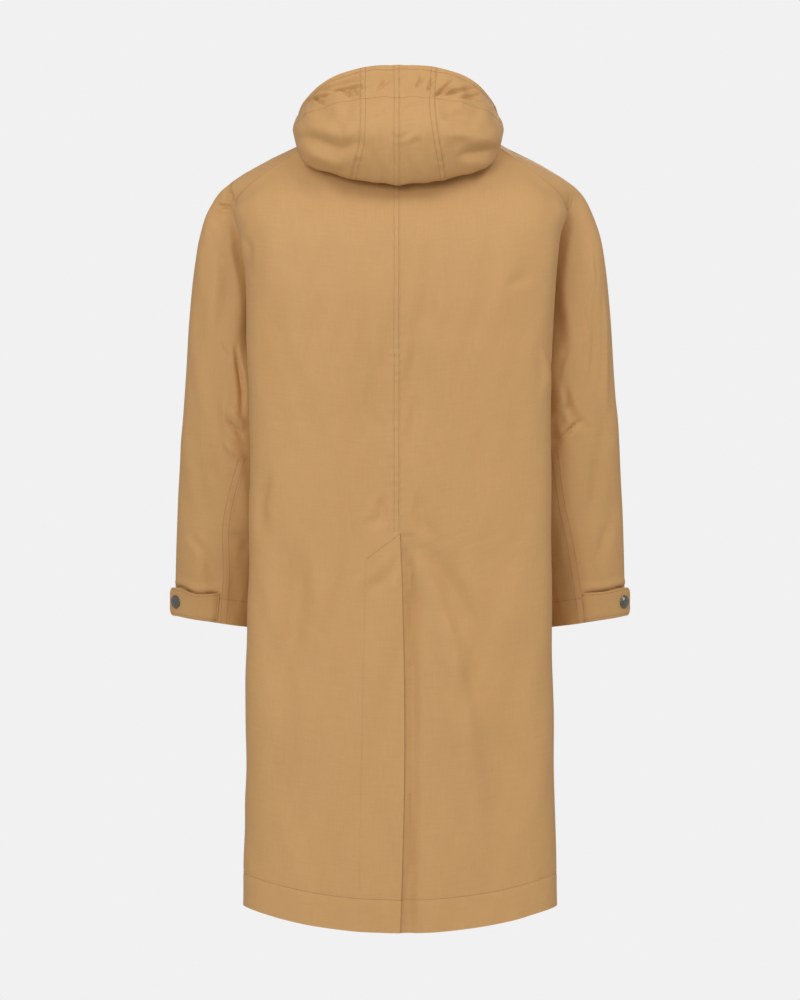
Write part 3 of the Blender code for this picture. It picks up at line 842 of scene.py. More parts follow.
def hood_points(side):
    """Half hood from the neck seam over the roll, down, round the lower fold and up to the rim."""
    back = back_row(float(NECK), 0.0, np.linspace(0, 1, 13), 1)
    seam, _ = sleeve_seam()
    tip = seam[len(seam) // 2 - 1: len(seam) // 2 + 1]
    front = front_row(float(NECK), np.linspace(0, 1, 10))
    middle = np.array([(0.00015, FRONT[NECK][1], FRONT[NECK][0])])
    neck = np.concatenate([back, tip, front[front[:, 0] > 0.010], middle])
    start = spread_along(neck, HOOD_ROUNDS)
    table = np.array(HOOD)
    shape = curve_through(table[:, 0], table[:, 1:], HOOD_ROUNDS)
    columns = []
    for point, sizes in zip(start, shape):
        line = np.concatenate([[point], sizes.reshape(5, 3)])
        columns.append(spread_along(line, HOOD_DOWNS))
    whole = np.stack(columns, axis=1)
    rounds = HOOD_ROUNDS[None, :]
    downs = HOOD_DOWNS[:, None]
    sag = np.array(HOOD_SAG)
    filled = bump(rounds, 0.475, 0.10) * bump(downs, 0.57, 0.14)
    drawn_in = bump(rounds, 0.52, 0.14) * ease(downs, 0.42, 0.60)
    whole[:, :, 0] -= HOOD_NARROW[side] * drawn_in
    whole[:, :, 2] -= curve_through(sag[:, 0], sag[:, 1], HOOD_ROUNDS)[None, :] * ease(downs, 0.45, 0.75)
    return whole + HOOD_FULL * filled[:, :, None] * np.array(HOOD_FULL_WAY)


def hood_slice(whole, first, last, count):
    """Part of the half hood between two lines that differ from row to row."""
    places = np.arange(len(HOOD_ROUNDS))
    rows = []
    for row, start, end in zip(whole, first, last):
        at = np.interp(np.linspace(start, end, count), HOOD_ROUNDS, places)
        rows.append(np.stack([np.interp(at, places, row[:, axis]) for axis in range(3)], axis=1))
    return np.array(rows)


def sleeve_surface(turn_degrees, run):
    """Point and outward direction on the lower sleeve."""
    turn = math.radians(turn_degrees)
    row = curve_through([row[0] for row in SLEEVE], [row[1:] for row in SLEEVE], np.array([run]))[0]
    outer = Vector(row[0:3])
    inner = Vector(row[3:6])
    half_depth = row[6]
    point = (outer + inner) / 2 + math.cos(turn) * (outer - inner) / 2
    point.y -= half_depth * math.sin(turn)
    half_width = (outer.x - inner.x) / 2
    outward = Vector((math.cos(turn) / half_width, -math.sin(turn) / half_depth, 0.0)).normalized()
    return point, outward


def tab_point(share, up, gape=0.0, dip=0.0):
    """Point of a cuff tab, from its sewn end to its free end and from its lower to its upper edge."""
    to_end = (1 - share) * TAB_LENGTH
    short = TAB_CORNER - math.sqrt(max(TAB_CORNER**2 - max(TAB_CORNER - to_end, 0) ** 2, 0))
    short = min(short, TAB_CORNER * 0.9)
    slack = float(bump(share, *TAB_SLACK))
    drop = TAB_FROM_CUFF + short + (TAB_HEIGHT - 2 * short - dip * slack) * up
    turn = TAB_SEWN_TURN + (TAB_FREE_TURN - TAB_SEWN_TURN) * share
    point, outward = sleeve_surface(turn, CUFF_RUN - drop)
    stand = (TAB_RISE + CAD_WALL) * (0.35 + 0.65 * float(ease(share, 0.0, 0.10)))
    stand += TAB_STAND * share**3 + gape * slack * up**2
    return point + outward * stand


def tab_points(side):
    """Cuff tab from its sewn end at the back of the sleeve round to its rounded free end."""
    gape, dip = TAB_GAPE[side]
    return np.array([
        [tab_point(share, up, gape, dip) for share in np.linspace(0, 1, TAB_COLUMNS)]
        for up in np.linspace(0, 1, TAB_ROWS)
    ])


def snap_place():
    """Middle of the snap on the tab and the way it faces."""
    step = 0.02
    along = tab_point(SNAP_SHARE + step, 0.5) - tab_point(SNAP_SHARE - step, 0.5)
    upward = tab_point(SNAP_SHARE, 0.5 + step) - tab_point(SNAP_SHARE, 0.5 - step)
    outward = along.cross(upward).normalized()
    return tab_point(SNAP_SHARE, 0.5) + outward * SNAP_GAP, outward


# Finishes

def new_finish(name):
    """New material, with its node tree and its shader."""
    made = bpy.data.materials.new(name)
    made.use_nodes = True
    return made, made.node_tree, made.node_tree.nodes["Principled BSDF"]


def set_inputs(node, values):
    """Sets inputs of a shader node by name."""
    for name, value in values.items():
        node.inputs[name].default_value = value


def add_node(tree, kind, values):
    """Adds a shader node with some of its inputs set."""
    node = tree.nodes.new(kind)
    set_inputs(node, values)
    return node


def mottle(tree, shader, scale, detail, tones):
    """Colours a shader by fine noise between two tones, each with the noise value that reaches it."""
    place = tree.nodes.new("ShaderNodeTexCoord")
    noise = add_node(tree, "ShaderNodeTexNoise", {"Scale": scale, "Detail": detail})
    ramp = tree.nodes.new("ShaderNodeValToRGB")
    for element, (position, colour) in zip(ramp.color_ramp.elements, tones):
        element.position = position
        element.color = (*colour, 1.0)
    tree.links.new(place.outputs["Object"], noise.inputs["Vector"])
    tree.links.new(noise.outputs["Fac"], ramp.inputs["Fac"])
    tree.links.new(ramp.outputs["Color"], shader.inputs["Base Color"])
    return noise.outputs["Fac"]


def socket(group, name, kind, way, default=None):
    """Adds a named input or output to a shader node group."""
    made = group.interface.new_socket(name=name, in_out=way, socket_type=kind)
    if default is not None:
        made.default_value = default


def slub_weave():
    """Shader group of a plain cotton weave: thick and thin yarns, broad tone and a crisp rumple."""
    group = bpy.data.node_groups.new("slub weave", "ShaderNodeTree")
    socket(group, "Cloth", "NodeSocketColor", "INPUT", (0.5, 0.3, 0.13, 1.0))
    socket(group, "Slub", "NodeSocketFloat", "INPUT", 0.1)
    socket(group, "Colour", "NodeSocketColor", "OUTPUT")
    for name in ("Roughness", "Rumple", "Yarn"):
        socket(group, name, "NodeSocketFloat", "OUTPUT")
    nodes = group.nodes
    link = group.links.new
    given = nodes.new("NodeGroupInput")
    out = nodes.new("NodeGroupOutput")
    weave = nodes.new("ShaderNodeUVMap")
    weave.uv_map = "weave"

    def noise(scale, detail, stretch):
        """Noise over the weave map, whose frequency across and along is scale times stretch."""
        mapping = add_node(group, "ShaderNodeMapping", {"Scale": stretch})
        texture = add_node(group, "ShaderNodeTexNoise", {"Scale": scale, "Detail": detail})
        link(weave.outputs["UV"], mapping.inputs["Vector"])
        link(mapping.outputs["Vector"], texture.inputs["Vector"])
        return texture.outputs["Fac"]

    def maths(kind, first, second):
        """Sum, difference or product of two values or outputs."""
        node = nodes.new("ShaderNodeMath")
        node.operation = kind
        for place, value in enumerate((first, second)):
            if isinstance(value, (int, float)):
                node.inputs[place].default_value = value
            else:
                link(value, node.inputs[place])
        return node.outputs[0]

    weft = noise(1.0, 3.0, (26.0, 520.0, 1.0))
    warp = noise(1.0, 3.0, (520.0, 30.0, 1.0))
    broad = noise(7.0, 2.0, (1.0, 1.0, 1.0))
    fine = noise(900.0, 1.0, (1.0, 1.0, 1.0))
    yarn = maths("ADD", weft, warp)
    tone = maths("ADD", yarn, maths("MULTIPLY", broad, 0.8))
    tone = maths("ADD", tone, maths("MULTIPLY", fine, 0.5))
    tone = maths("SUBTRACT", tone, 1.65)
    tone = maths("MULTIPLY", tone, given.outputs["Slub"])
    light = maths("ADD", tone, 1.0)
    shade = nodes.new("ShaderNodeVectorMath")
    shade.operation = "SCALE"
    link(given.outputs["Cloth"], shade.inputs[0])
    link(light, shade.inputs["Scale"])
    link(shade.outputs["Vector"], out.inputs["Colour"])
    link(maths("SUBTRACT", 0.70, maths("MULTIPLY", yarn, 0.09)), out.inputs["Roughness"])
    large = noise(34.0, 3.0, (1.0, 0.7, 1.0))
    small = noise(95.0, 2.0, (1.0, 1.0, 1.0))
    link(maths("ADD", large, maths("MULTIPLY", small, 0.25)), out.inputs["Rumple"])
    link(yarn, out.inputs["Yarn"])
    return group


def cloth_finish():
    """Tan cotton cloth of the whole coat."""
    found = bpy.data.materials.get("tan cotton")
    if found:
        return found
    settings = bpy.context.scene.parka_cloth
    made, tree, shader = new_finish("tan cotton")
    weave = tree.nodes.new("ShaderNodeGroup")
    weave.node_tree = slub_weave()
    set_inputs(weave, {"Cloth": (*settings.colour, 1.0), "Slub": settings.slub})
    rumple = add_node(tree, "ShaderNodeBump", {"Strength": 0.35, "Distance": settings.rumple})
    yarn = add_node(tree, "ShaderNodeBump", {"Strength": 0.25, "Distance": 0.0002})
    link = tree.links.new
    link(weave.outputs["Colour"], shader.inputs["Base Color"])
    link(weave.outputs["Roughness"], shader.inputs["Roughness"])
    link(weave.outputs["Rumple"], rumple.inputs["Height"])
    link(weave.outputs["Yarn"], yarn.inputs["Height"])
    link(rumple.outputs["Normal"], yarn.inputs["Normal"])
    link(yarn.outputs["Normal"], shader.inputs["Normal"])
    set_inputs(shader, {
        "Specular IOR Level": 0.35, "Sheen Weight": settings.sheen, "Sheen Roughness": 0.45,
    })
    return made


def thread_finish(name, tone):
    """Sewing thread in the tone of the cloth, mottled with random darker spots that are painted shade for
    where it sinks in.
    """
    found = bpy.data.materials.get(name)
    if found:
        return found
    made, tree, shader = new_finish(name)
    light = [tone * value for value in bpy.context.scene.parka_stitch.colour]
    # Painted shade: a darker tone, mottled in at random, for the shade where the thread sinks into the
    # cloth.
    painted_sink_shade = [0.72 * value for value in light]
    mottle(tree, shader, 1400.0, 1.0, ((0.35, painted_sink_shade), (0.65, light)))
    set_inputs(shader, {"Roughness": 0.6})
    return made


def gunmetal_finish():
    """Dark plated snap cap, rubbed a little lighter in places."""
    made, tree, shader = new_finish("gunmetal")
    plain = bpy.context.scene.parka_snap.colour
    lighter = [1.5 * value for value in plain]
    rubbed = mottle(tree, shader, 420.0, 4.0, ((0.4, plain), (0.75, lighter)))
    gloss = add_node(tree, "ShaderNodeMapRange", {"To Min": 0.16, "To Max": 0.32})
    tree.links.new(rubbed, gloss.inputs["Value"])
    tree.links.new(gloss.outputs["Result"], shader.inputs["Roughness"])
    set_inputs(shader, {"Metallic": 1.0})
    return made


# Settings that a user would change

def colour_setting(name, description, default):
    """Setting for a colour."""
    return bpy.props.FloatVectorProperty(
        name=name, description=description, subtype="COLOR", size=3, min=0, max=1, default=default)


def number_setting(name, description, default, lowest, highest, **kind):
    """Setting for a number between two limits."""
    return bpy.props.FloatProperty(
        name=name, description=description, default=default, min=lowest, max=highest, **kind)


class ParkaClothSettings(bpy.types.PropertyGroup):
    """The cloth of the coat."""

    colour: colour_setting("Colour", "Tan of the cloth", (0.565, 0.318, 0.122))
    thickness: number_setting(
        "Thickness", "Thickness of one layer with its facing", 0.0012, 0.0005, 0.003, unit="LENGTH")
    slub: number_setting("Slub", "How much thick and thin yarns show", 0.10, 0, 1, subtype="FACTOR")
    sheen: number_setting("Sheen", "Soft sheen at a glance", 0.02, 0, 1, subtype="FACTOR")
    rumple: number_setting("Rumple", "Height of the crisp small rumples", 0.0028, 0, 0.01, unit="LENGTH")


class ParkaStitchSettings(bpy.types.PropertyGroup):
    """The topstitching."""

    # Darker than the cloth: partly the thread's own tone, partly painted shade of the grooves and needle
    # holes it lies in.
    colour: colour_setting("Thread", "Colour of the thread", (0.36, 0.185, 0.068))
    pitch: number_setting("Pitch", "From one stitch to the next", 0.0029, 0.0015, 0.006, unit="LENGTH")
    width: number_setting("Width", "Width of the thread", 0.00062, 0.0002, 0.002, unit="LENGTH")


class ParkaSnapSettings(bpy.types.PropertyGroup):
    """The snap caps."""

    colour: colour_setting("Cap", "Colour of the plated cap", (0.190, 0.185, 0.165))


class ParkaStageSettings(bpy.types.PropertyGroup):
    """Backdrop, light and camera."""

    grey: number_setting("Backdrop", "Brightness of the pale backdrop", 0.88, 0, 1)
    ambient: number_setting("Ambient", "Strength of the light from all round", 0.44, 0, 5)
    key: number_setting("Key", "Power of the large light beside the camera", 38.0, 0, 2000, subtype="POWER")
    distance: number_setting(
        "Camera distance", "From the camera to the middle of the coat", 5.5, 1, 20, unit="LENGTH")
    lens: number_setting("Lens", "Focal length in millimetres", 141.43, 20, 300)


# Pieces

class PARKA_OT_backs(bpy.types.Operator):
    """Cuts and sews the two back panels, the left one lapping over the right one at the vent"""

    bl_idname = "parka.backs"
    bl_label = "Back panels"

    def execute(self, context):
        thickness = context.scene.parka_cloth.thickness
        for name, side in (("back_right", 1), ("back_left", -1)):
            cloth = Cloth(back_points(side < 0))
            x, z = cloth.world(side)
            share = cloth.across / cloth.across[:, -1:]
            inner = 1 - ease(share, 0.80, 0.95)
            height = crease_height(x, z, BACK_CREASES) + edge_height(x, z, BACK_EDGES)
            height = (height + unevenness(x, z, 11)) * inner
            sewn_shut = ease(z, VENT_TOP - VENT_START, VENT_TOP + VENT_START)
            if side < 0:
                height += 0.0005 * (1 - ease(cloth.across, FELL, FELL + FELL_STEP)) * sewn_shut
                height += 0.0003 * (1 - ease(cloth.across, 0.0, 0.022)) * (1 - sewn_shut)
                height += pucker(cloth.across - FELL, cloth.along, 3) * sewn_shut
            height += pucker(cloth.across, cloth.along, 4) * sewn_shut
            height += turned_hem(cloth.along, cloth.across, HEM, 0.0002, 5, 0.010)
            raglan = ease(z, -0.135, -0.115) * (1 - ease(cloth.from_last_column(), 0.0, 0.004))
            height += 0.0005 * raglan
            cloth.push(height)
            lay_cloth(name, cloth, side, cloth_finish(), thickness)
            self.sew_panel(cloth, side)
        return {"FINISHED"}

    def sew_panel(self, cloth, side):
        """Hem, sleeve seam and, on the left, the middle seam and the stitching of the vent."""
        heights = cloth.points[:, 0, 2]
        vent_row = int(np.searchsorted(heights, VENT_TOP))
        sew("stitches_back", cloth, above(cloth, HEM), side)
        if side < 0:
            sew("stitches_back", cloth, beside(cloth, 0.0016, start=vent_row), side)
            sew("stitches_back", cloth, beside(cloth, FELL - FELL_INSET, start=vent_row), side)
            slant = ((0.0004, VENT_TOP - 0.001), (-0.0464, VENT_TOP - 0.036))
            sew("stitches_back", cloth, trace(cloth, slant, side), side)
            facing = ((-0.0466, VENT_TOP - 0.040), (-0.0500, -0.760), (-0.0535, -0.930), (-0.0560, -1.100))
            sew("stitches_vent", cloth, trace(cloth, facing, side), side)
        start = int(np.searchsorted(LEVELS, BACK_STITCH_LEVEL))
        sew("stitches_back", cloth, beside(cloth, EDGE_STITCH, last=True, start=start), side)


class PARKA_OT_fronts(bpy.types.Operator):
    """Cuts and sews the two front panels, the left one lapping over the right one"""

    bl_idname = "parka.fronts"
    bl_label = "Front panels"

    def execute(self, context):
        thickness = context.scene.parka_cloth.thickness
        for name, side in (("front_right", 1), ("front_left", -1)):
            cloth = Cloth(front_points(side < 0))
            x, z = cloth.world(side)
            inner = ease(cloth.across, 0.01, 0.06)
            height = (crease_height(x, z, FRONT_CREASES) + unevenness(x, z, 12)) * inner
            height += turned_hem(cloth.along, cloth.across, HEM, 0.0002, 6, 0.010)
            if side < 0:
                height += 0.0004 * (1 - ease(cloth.from_last_column(), FLY, FLY + 0.006))
            cloth.push(height)
            lay_cloth(name, cloth, side, cloth_finish(), thickness)
            sew("stitches_front", cloth, above(cloth, HEM), side)
            if side < 0:
                for distance in (FLY, EDGE_STITCH):
                    sew("stitches_front", cloth, beside(cloth, distance, last=True), side)
            start = int(np.searchsorted(LEVELS, FRONT_STITCH_LEVEL))
            sew("stitches_front", cloth, beside(cloth, EDGE_STITCH, start=start), side)
        return {"FINISHED"}


class PARKA_OT_sleeves(bpy.types.Operator):
    """Cuts and sews the two raglan sleeves with their turned cuffs"""

    bl_idname = "parka.sleeves"
    bl_label = "Sleeves"

    def execute(self, context):
        thickness = context.scene.parka_cloth.thickness
        for name, side in (("sleeve_right", 1), ("sleeve_left", -1)):
            cloth = Cloth(sleeve_points(), closed=True)
            x, z = cloth.world(side)
            faces_back = ease(-cloth.outward[:, :, 1], 0.0, 0.3)
            faces_front = ease(cloth.outward[:, :, 1], 0.0, 0.3)
            to_seam = cloth.from_last_row()
            free = ease(to_seam, 0.001, 0.014)
            turn = np.abs(np.linspace(1, -1, cloth.points.shape[1]))
            free = free * (1 - ease(turn, 0.93, 0.99) * (1 - ease(to_seam, 0.10, 0.20)))
            height = crease_height(x, z, SLEEVE_CREASES, lip=0.15) * faces_back
            height += crease_height(x, z, SLEEVE_FRONT_CREASES) * faces_front
            height += edge_height(x, z, SHOULDER_EDGES) * ease(-cloth.outward[:, :, 1], 0.30, 0.75)
            height += unevenness(x * 1.5, z, 13 + side) * np.maximum(faces_back, faces_front)
            height *= free
            seam = SLEEVE_SEAMS[side]
            from_seam = from_polyline(x, z, seam)
            height += 0.0005 * (1 - ease(from_seam, FELL / 2, FELL / 2 + 0.004)) * faces_back * free
            height += pucker(from_seam, cloth.along, 8 + side, 0.009) * faces_back
            height += turned_hem(cloth.along, cloth.across, CUFF_HEM, 0.0004, 7, 0.008)
            height += self.above_tab(cloth, side)
            height[:, -1] = height[:, 0]
            cloth.push(height)
            lay_cloth(name, cloth, side, cloth_finish(), thickness)
            sew("stitches_sleeves", cloth, above(cloth, CUFF_HEM), side)
            for shift in (-FELL / 2, FELL / 2):
                beside_seam = [(seam_x + shift, seam_z) for seam_x, seam_z in seam]
                sew("stitches_sleeves", cloth, trace(cloth, beside_seam, side), side)
        return {"FINISHED"}

    def above_tab(self, cloth, side):
        """Hollow in the sleeve along the upper edge of its tab, and the slack cloth that hangs over it."""
        turn = np.degrees(np.linspace(math.pi, -math.pi, cloth.points.shape[1]))
        share = (TAB_SEWN_TURN - turn) / (TAB_SEWN_TURN - TAB_FREE_TURN)
        dip = TAB_GAPE[side][1] * bump(share, *TAB_SLACK)
        over = cloth.along - (TAB_FROM_CUFF + TAB_HEIGHT - dip)
        beside_tab = ease(share, -0.02, 0.10) * (1 - ease(share, 0.95, 1.10))
        return beside_tab * (0.0022 * bump(over, 0.0075, 0.0055) - 0.0036 * bump(over, 0.0004, 0.0026))


class PARKA_OT_hood(bpy.types.Operator):
    """Cuts and sews the four panels of the hood, with its turned rim and drawcord tunnel"""

    bl_idname = "parka.hood"
    bl_label = "Hood"

    def execute(self, context):
        middle_line = np.zeros_like(HOOD_DOWNS)
        front_line = np.ones_like(HOOD_DOWNS)
        for side, word in ((1, "right"), (-1, "left")):
            whole = hood_points(side)
            knots = np.array(HOOD_SEAMS[side])
            seam = curve_through(knots[:, 0], knots[:, 1], HOOD_DOWNS)
            middle = Cloth(hood_slice(whole, middle_line, seam, HOOD_MIDDLE_COLUMNS))
            rounds = np.linspace(0, 1, HOOD_MIDDLE_COLUMNS) * HOOD_MIDDLE
            rim_lines = self.shape_panel(middle, side, rounds)
            raised = 1 - ease(middle.from_last_column(), FELL, FELL + FELL_STEP)
            if side < 0:
                raised = np.maximum(raised, 1 - ease(middle.across, FELL, FELL + FELL_STEP))
            raised = raised * ease(middle.along, 0.02, 0.05)
            height = 0.0004 * raised
            height += pucker(middle.from_last_column() - FELL / 2, middle.along, 21 + side, 0.008)
            height += pucker(middle.across - FELL / 2, middle.along, 24, 0.008)
            middle.push(height)
            self.place_panel(context, "hood_middle_" + word, middle, side, rim_lines, "hood_middle")
            outside = int(np.searchsorted(HOOD_DOWNS, HOOD_OUTSIDE))
            for distance in (0.0014, FELL - FELL_INSET):
                sew("stitches_hood", middle, beside(middle, distance, last=True, start=outside), side)
                if side < 0:
                    sew("stitches_hood", middle, beside(middle, distance, start=outside), side)

            edge = Cloth(hood_slice(whole, seam - HOOD_UNDERLAP, front_line, HOOD_SIDE_COLUMNS))
            rounds = np.linspace(HOOD_MIDDLE, 1.0, HOOD_SIDE_COLUMNS)
            rim_lines = self.shape_panel(edge, side, rounds)
            edge.push(pucker(edge.across, edge.along, 27 + side, 0.008)
                      - 0.0014 * (1 - ease(edge.across, 0.0025, 0.0060)))
            self.place_panel(context, "hood_side_" + word, edge, side, rim_lines, "hood_side")
        return {"FINISHED"}

    def shape_panel(self, cloth, side, rounds):
        """Creases a panel and gives the lines of its rim and tunnel stitching, laid out before that."""
        x, z = cloth.world(side)
        faces_back = ease(-cloth.outward[:, :, 1], 0.0, 0.35)
        to_rim = cloth.from_last_row()
        tunnel = np.interp(rounds, *zip(*TUNNEL))
        free = ease(to_rim, 0.001, 0.010)
        height = crease_height(x, z, HOOD_CREASES, lip=0.2, bend=0.2) * faces_back * free
        outer = ease(cloth.along, 0.10, 0.16)
        gathers = bump(to_rim, tunnel * 0.55, 0.012)
        waves = np.sin(2 * math.pi * cloth.across / 0.021 + 1.3 * side)
        waves += 0.6 * np.sin(2 * math.pi * cloth.across / 0.033 + 0.7)
        height += 0.0006 * gathers * waves * outer
        height += unevenness(1.6 * x, 2.4 * z, 17) * 0.8 * outer * free
        height += 0.0005 * (1 - ease(to_rim, RIM_HEM - 0.002, RIM_HEM + 0.002))
        height += pucker(to_rim - tunnel, cloth.across, 30 + side, 0.008)
        height -= STITCH_SINK * bump(to_rim, tunnel, 0.0025)
        rim_lines = [above(cloth, distance, last=True) for distance in (RIM_HEM, tunnel)]
        cloth.push(height)
        return rim_lines

    def place_panel(self, context, name, cloth, side, rim_lines, cut):
        """Lays a shaped panel and keeps its rim and tunnel stitching."""
        lay_cloth(name, cloth, side, cloth_finish(), context.scene.parka_cloth.thickness)
        for line in rim_lines:
            sew("stitches_hood", cloth, line, side)


class PARKA_OT_cuff_tabs(bpy.types.Operator):
    """Cuts and sews the cuff tabs, which stand a little off the sleeves"""

    bl_idname = "parka.cuff_tabs"
    bl_label = "Cuff tabs"

    def execute(self, context):
        for name, side in (("cuff_tab_right", 1), ("cuff_tab_left", -1)):
            cloth = Cloth(tab_points(side))
            edge = np.minimum(np.minimum(cloth.along, cloth.from_last_row()), cloth.from_last_column())
            height = 0.0005 * ease(edge, 0.0, 0.002) - STITCH_SINK * bump(edge, TAB_STITCH, 0.0012)
            height += pucker(edge - TAB_STITCH, cloth.across, 40 + side, 0.004)
            cloth.push(height)
            lay_cloth(name, cloth, side, cloth_finish(), TAB_THICKNESS)
            rounded = int(TAB_COLUMNS * 0.93)
            for last in (False, True):
                sew("stitches_tabs", cloth, above(cloth, TAB_STITCH, last=last, end=rounded), side)
            sew("stitches_tabs", cloth, beside(cloth, 0.0036, last=True, start=3, end=TAB_ROWS - 3), side)
            sew("stitches_tabs", cloth, beside(cloth, 0.0026), side)
            place, outward = snap_place()
            TAB_SPOTS[side] = (Vector((side * place.x, place.y, place.z)),
                               Vector((side * outward.x, outward.y, outward.z)))
        return {"FINISHED"}


class PARKA_OT_snaps(bpy.types.Operator):
    """Turns the two domed snap caps and sets them on the tabs"""

    bl_idname = "parka.snaps"
    bl_label = "Snap caps"

    def execute(self, context):
        if not TAB_SPOTS:
            raise RuntimeError("cut the cuff tabs before the snaps")
        first = self.model_cap()
        first.data.materials.append(gunmetal_finish())
        second = first.copy()
        second.data = first.data.copy()
        context.scene.collection.objects.link(second)
        for piece, name, side in ((first, "snap_right", 1), (second, "snap_left", -1)):
            piece.name = name + "_cap"
            spot, outward = TAB_SPOTS[side]
            turned = outward.to_track_quat("Z", "Y").to_matrix().to_4x4()
            piece.matrix_world = Matrix.Translation(spot) @ turned
            only(piece)
            bpy.ops.object.transform_apply(location=True, rotation=True, scale=True)
            finish_piece(piece, name)
        return {"FINISHED"}

    def model_cap(self):
        """Short disc whose top is drawn in and up ring by ring into a dome with a rolled rim."""
        bpy.ops.object.select_all(action="DESELECT")
        bpy.ops.mesh.primitive_cylinder_add(vertices=40, radius=SNAP_RADIUS, depth=CAP_DEPTH,
                                            end_fill_type="NGON", location=(0, 0, CAP_DEPTH / 2))
        piece = bpy.context.object
        bpy.ops.object.transform_apply(location=True, rotation=True, scale=True)
        bpy.ops.object.mode_set(mode="EDIT")
        bpy.ops.mesh.select_mode(type="FACE")
        bpy.ops.mesh.select_all(action="DESELECT")
        mesh_data = bmesh.from_edit_mesh(piece.data)
        for face in mesh_data.faces:
            face.select_set(face.normal.z > 0.9)
        bmesh.update_edit_mesh(piece.data)
        for inward, upward in CAP_RINGS:
            bpy.ops.mesh.inset(thickness=inward, depth=upward)
        bpy.ops.object.mode_set(mode="OBJECT")
        apply_modifier(piece, "BEVEL", width=0.0002, segments=2, angle_limit=math.radians(40))
        bpy.ops.object.shade_smooth_by_angle(angle=math.radians(60))
        return piece


class PARKA_OT_stitching(bpy.types.Operator):
    """Lays the stitches along every line of topstitching"""

    bl_idname = "parka.stitching"
    bl_label = "Stitching"

    def execute(self, context):
        if not SEWN:
            raise RuntimeError("cut the cloth before the stitching")
        settings = context.scene.parka_stitch
        for name, lines in SEWN.items():
            places = [self.along_line(points, outward, settings.pitch) for points, outward in lines]
            middles, ways, outs = (np.concatenate(parts) for parts in zip(*places))
            self.make_stitches(name, middles, ways, outs, settings)
        return {"FINISHED"}

    def along_line(self, points, outward, pitch):
        """Middle, direction and outward direction of each stitch of a line."""
        run = distances(points)
        count = max(int(run[-1] / pitch), 1)
        at = (np.arange(count) + 0.5) * run[-1] / count
        step = 0.3 * pitch

        def read(field, where):
            """Field at some distances along the line."""
            return np.stack([np.interp(where, run, field[:, axis]) for axis in range(3)], axis=1)

        way = read(points, at + step) - read(points, at - step)
        out = read(outward, at)
        way = way / np.maximum(np.linalg.norm(way, axis=1, keepdims=True), 1e-9)
        out = out - way * np.sum(out * way, axis=1, keepdims=True)
        out = out / np.maximum(np.linalg.norm(out, axis=1, keepdims=True), 1e-9)
        return read(points, at), way, out

    def make_stitches(self, name, middles, ways, outs, settings):
        """One mesh of many small threads, each a spindle of three rings of four points."""
        finish, tone, half_width = VENT_THREAD if name == "stitches_vent" else PLAIN_THREAD
        half = 0.40 * settings.pitch
        thick = settings.width * half_width
        shape = [(-half, 0.0, -THREAD_DIP)]
        for along, size in ((-0.6 * half, 0.8), (0.0, 1.0), (0.6 * half, 0.8)):
            for over, up in ((size, 0.0), (0.0, 0.7 * size), (-size, 0.0), (0.0, -0.7 * size)):
                shape.append((along, over * thick, up * thick))
        shape.append((half, 0.0, -THREAD_DIP))
        shape = np.array(shape)
        end = len(shape) - 1
        faces = []
        for corner in range(4):
            following = (corner + 1) % 4
            for ring in (1, 5):
                faces.append((ring + corner, ring + following, ring + following + 4, ring + corner + 4))
            faces.append((0, 1 + following, 1 + corner))
            faces.append((end, 9 + corner, 9 + following))
        sides = np.cross(outs, ways)
        points = (
            middles[:, None] + outs[:, None] * (shape[None, :, 2:3] + THREAD_LIFT)
            + ways[:, None] * shape[None, :, 0:1] + sides[:, None] * shape[None, :, 1:2]
        )
        all_faces = [tuple(len(shape) * number + corner for corner in face)
                     for number in range(len(middles)) for face in faces]
        mesh = bpy.data.meshes.new(name)
        mesh.from_pydata(points.reshape(-1, 3).tolist(), [], all_faces)
        mesh_data = bmesh.new()
        mesh_data.from_mesh(mesh)
        bmesh.ops.recalc_face_normals(mesh_data, faces=mesh_data.faces)
        mesh_data.to_mesh(mesh)
        mesh_data.free()
        mesh.shade_smooth()
        mesh.materials.append(thread_finish(finish, tone))
        piece = bpy.data.objects.new(name, mesh)
        bpy.context.scene.collection.objects.link(piece)
        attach(piece, "root")


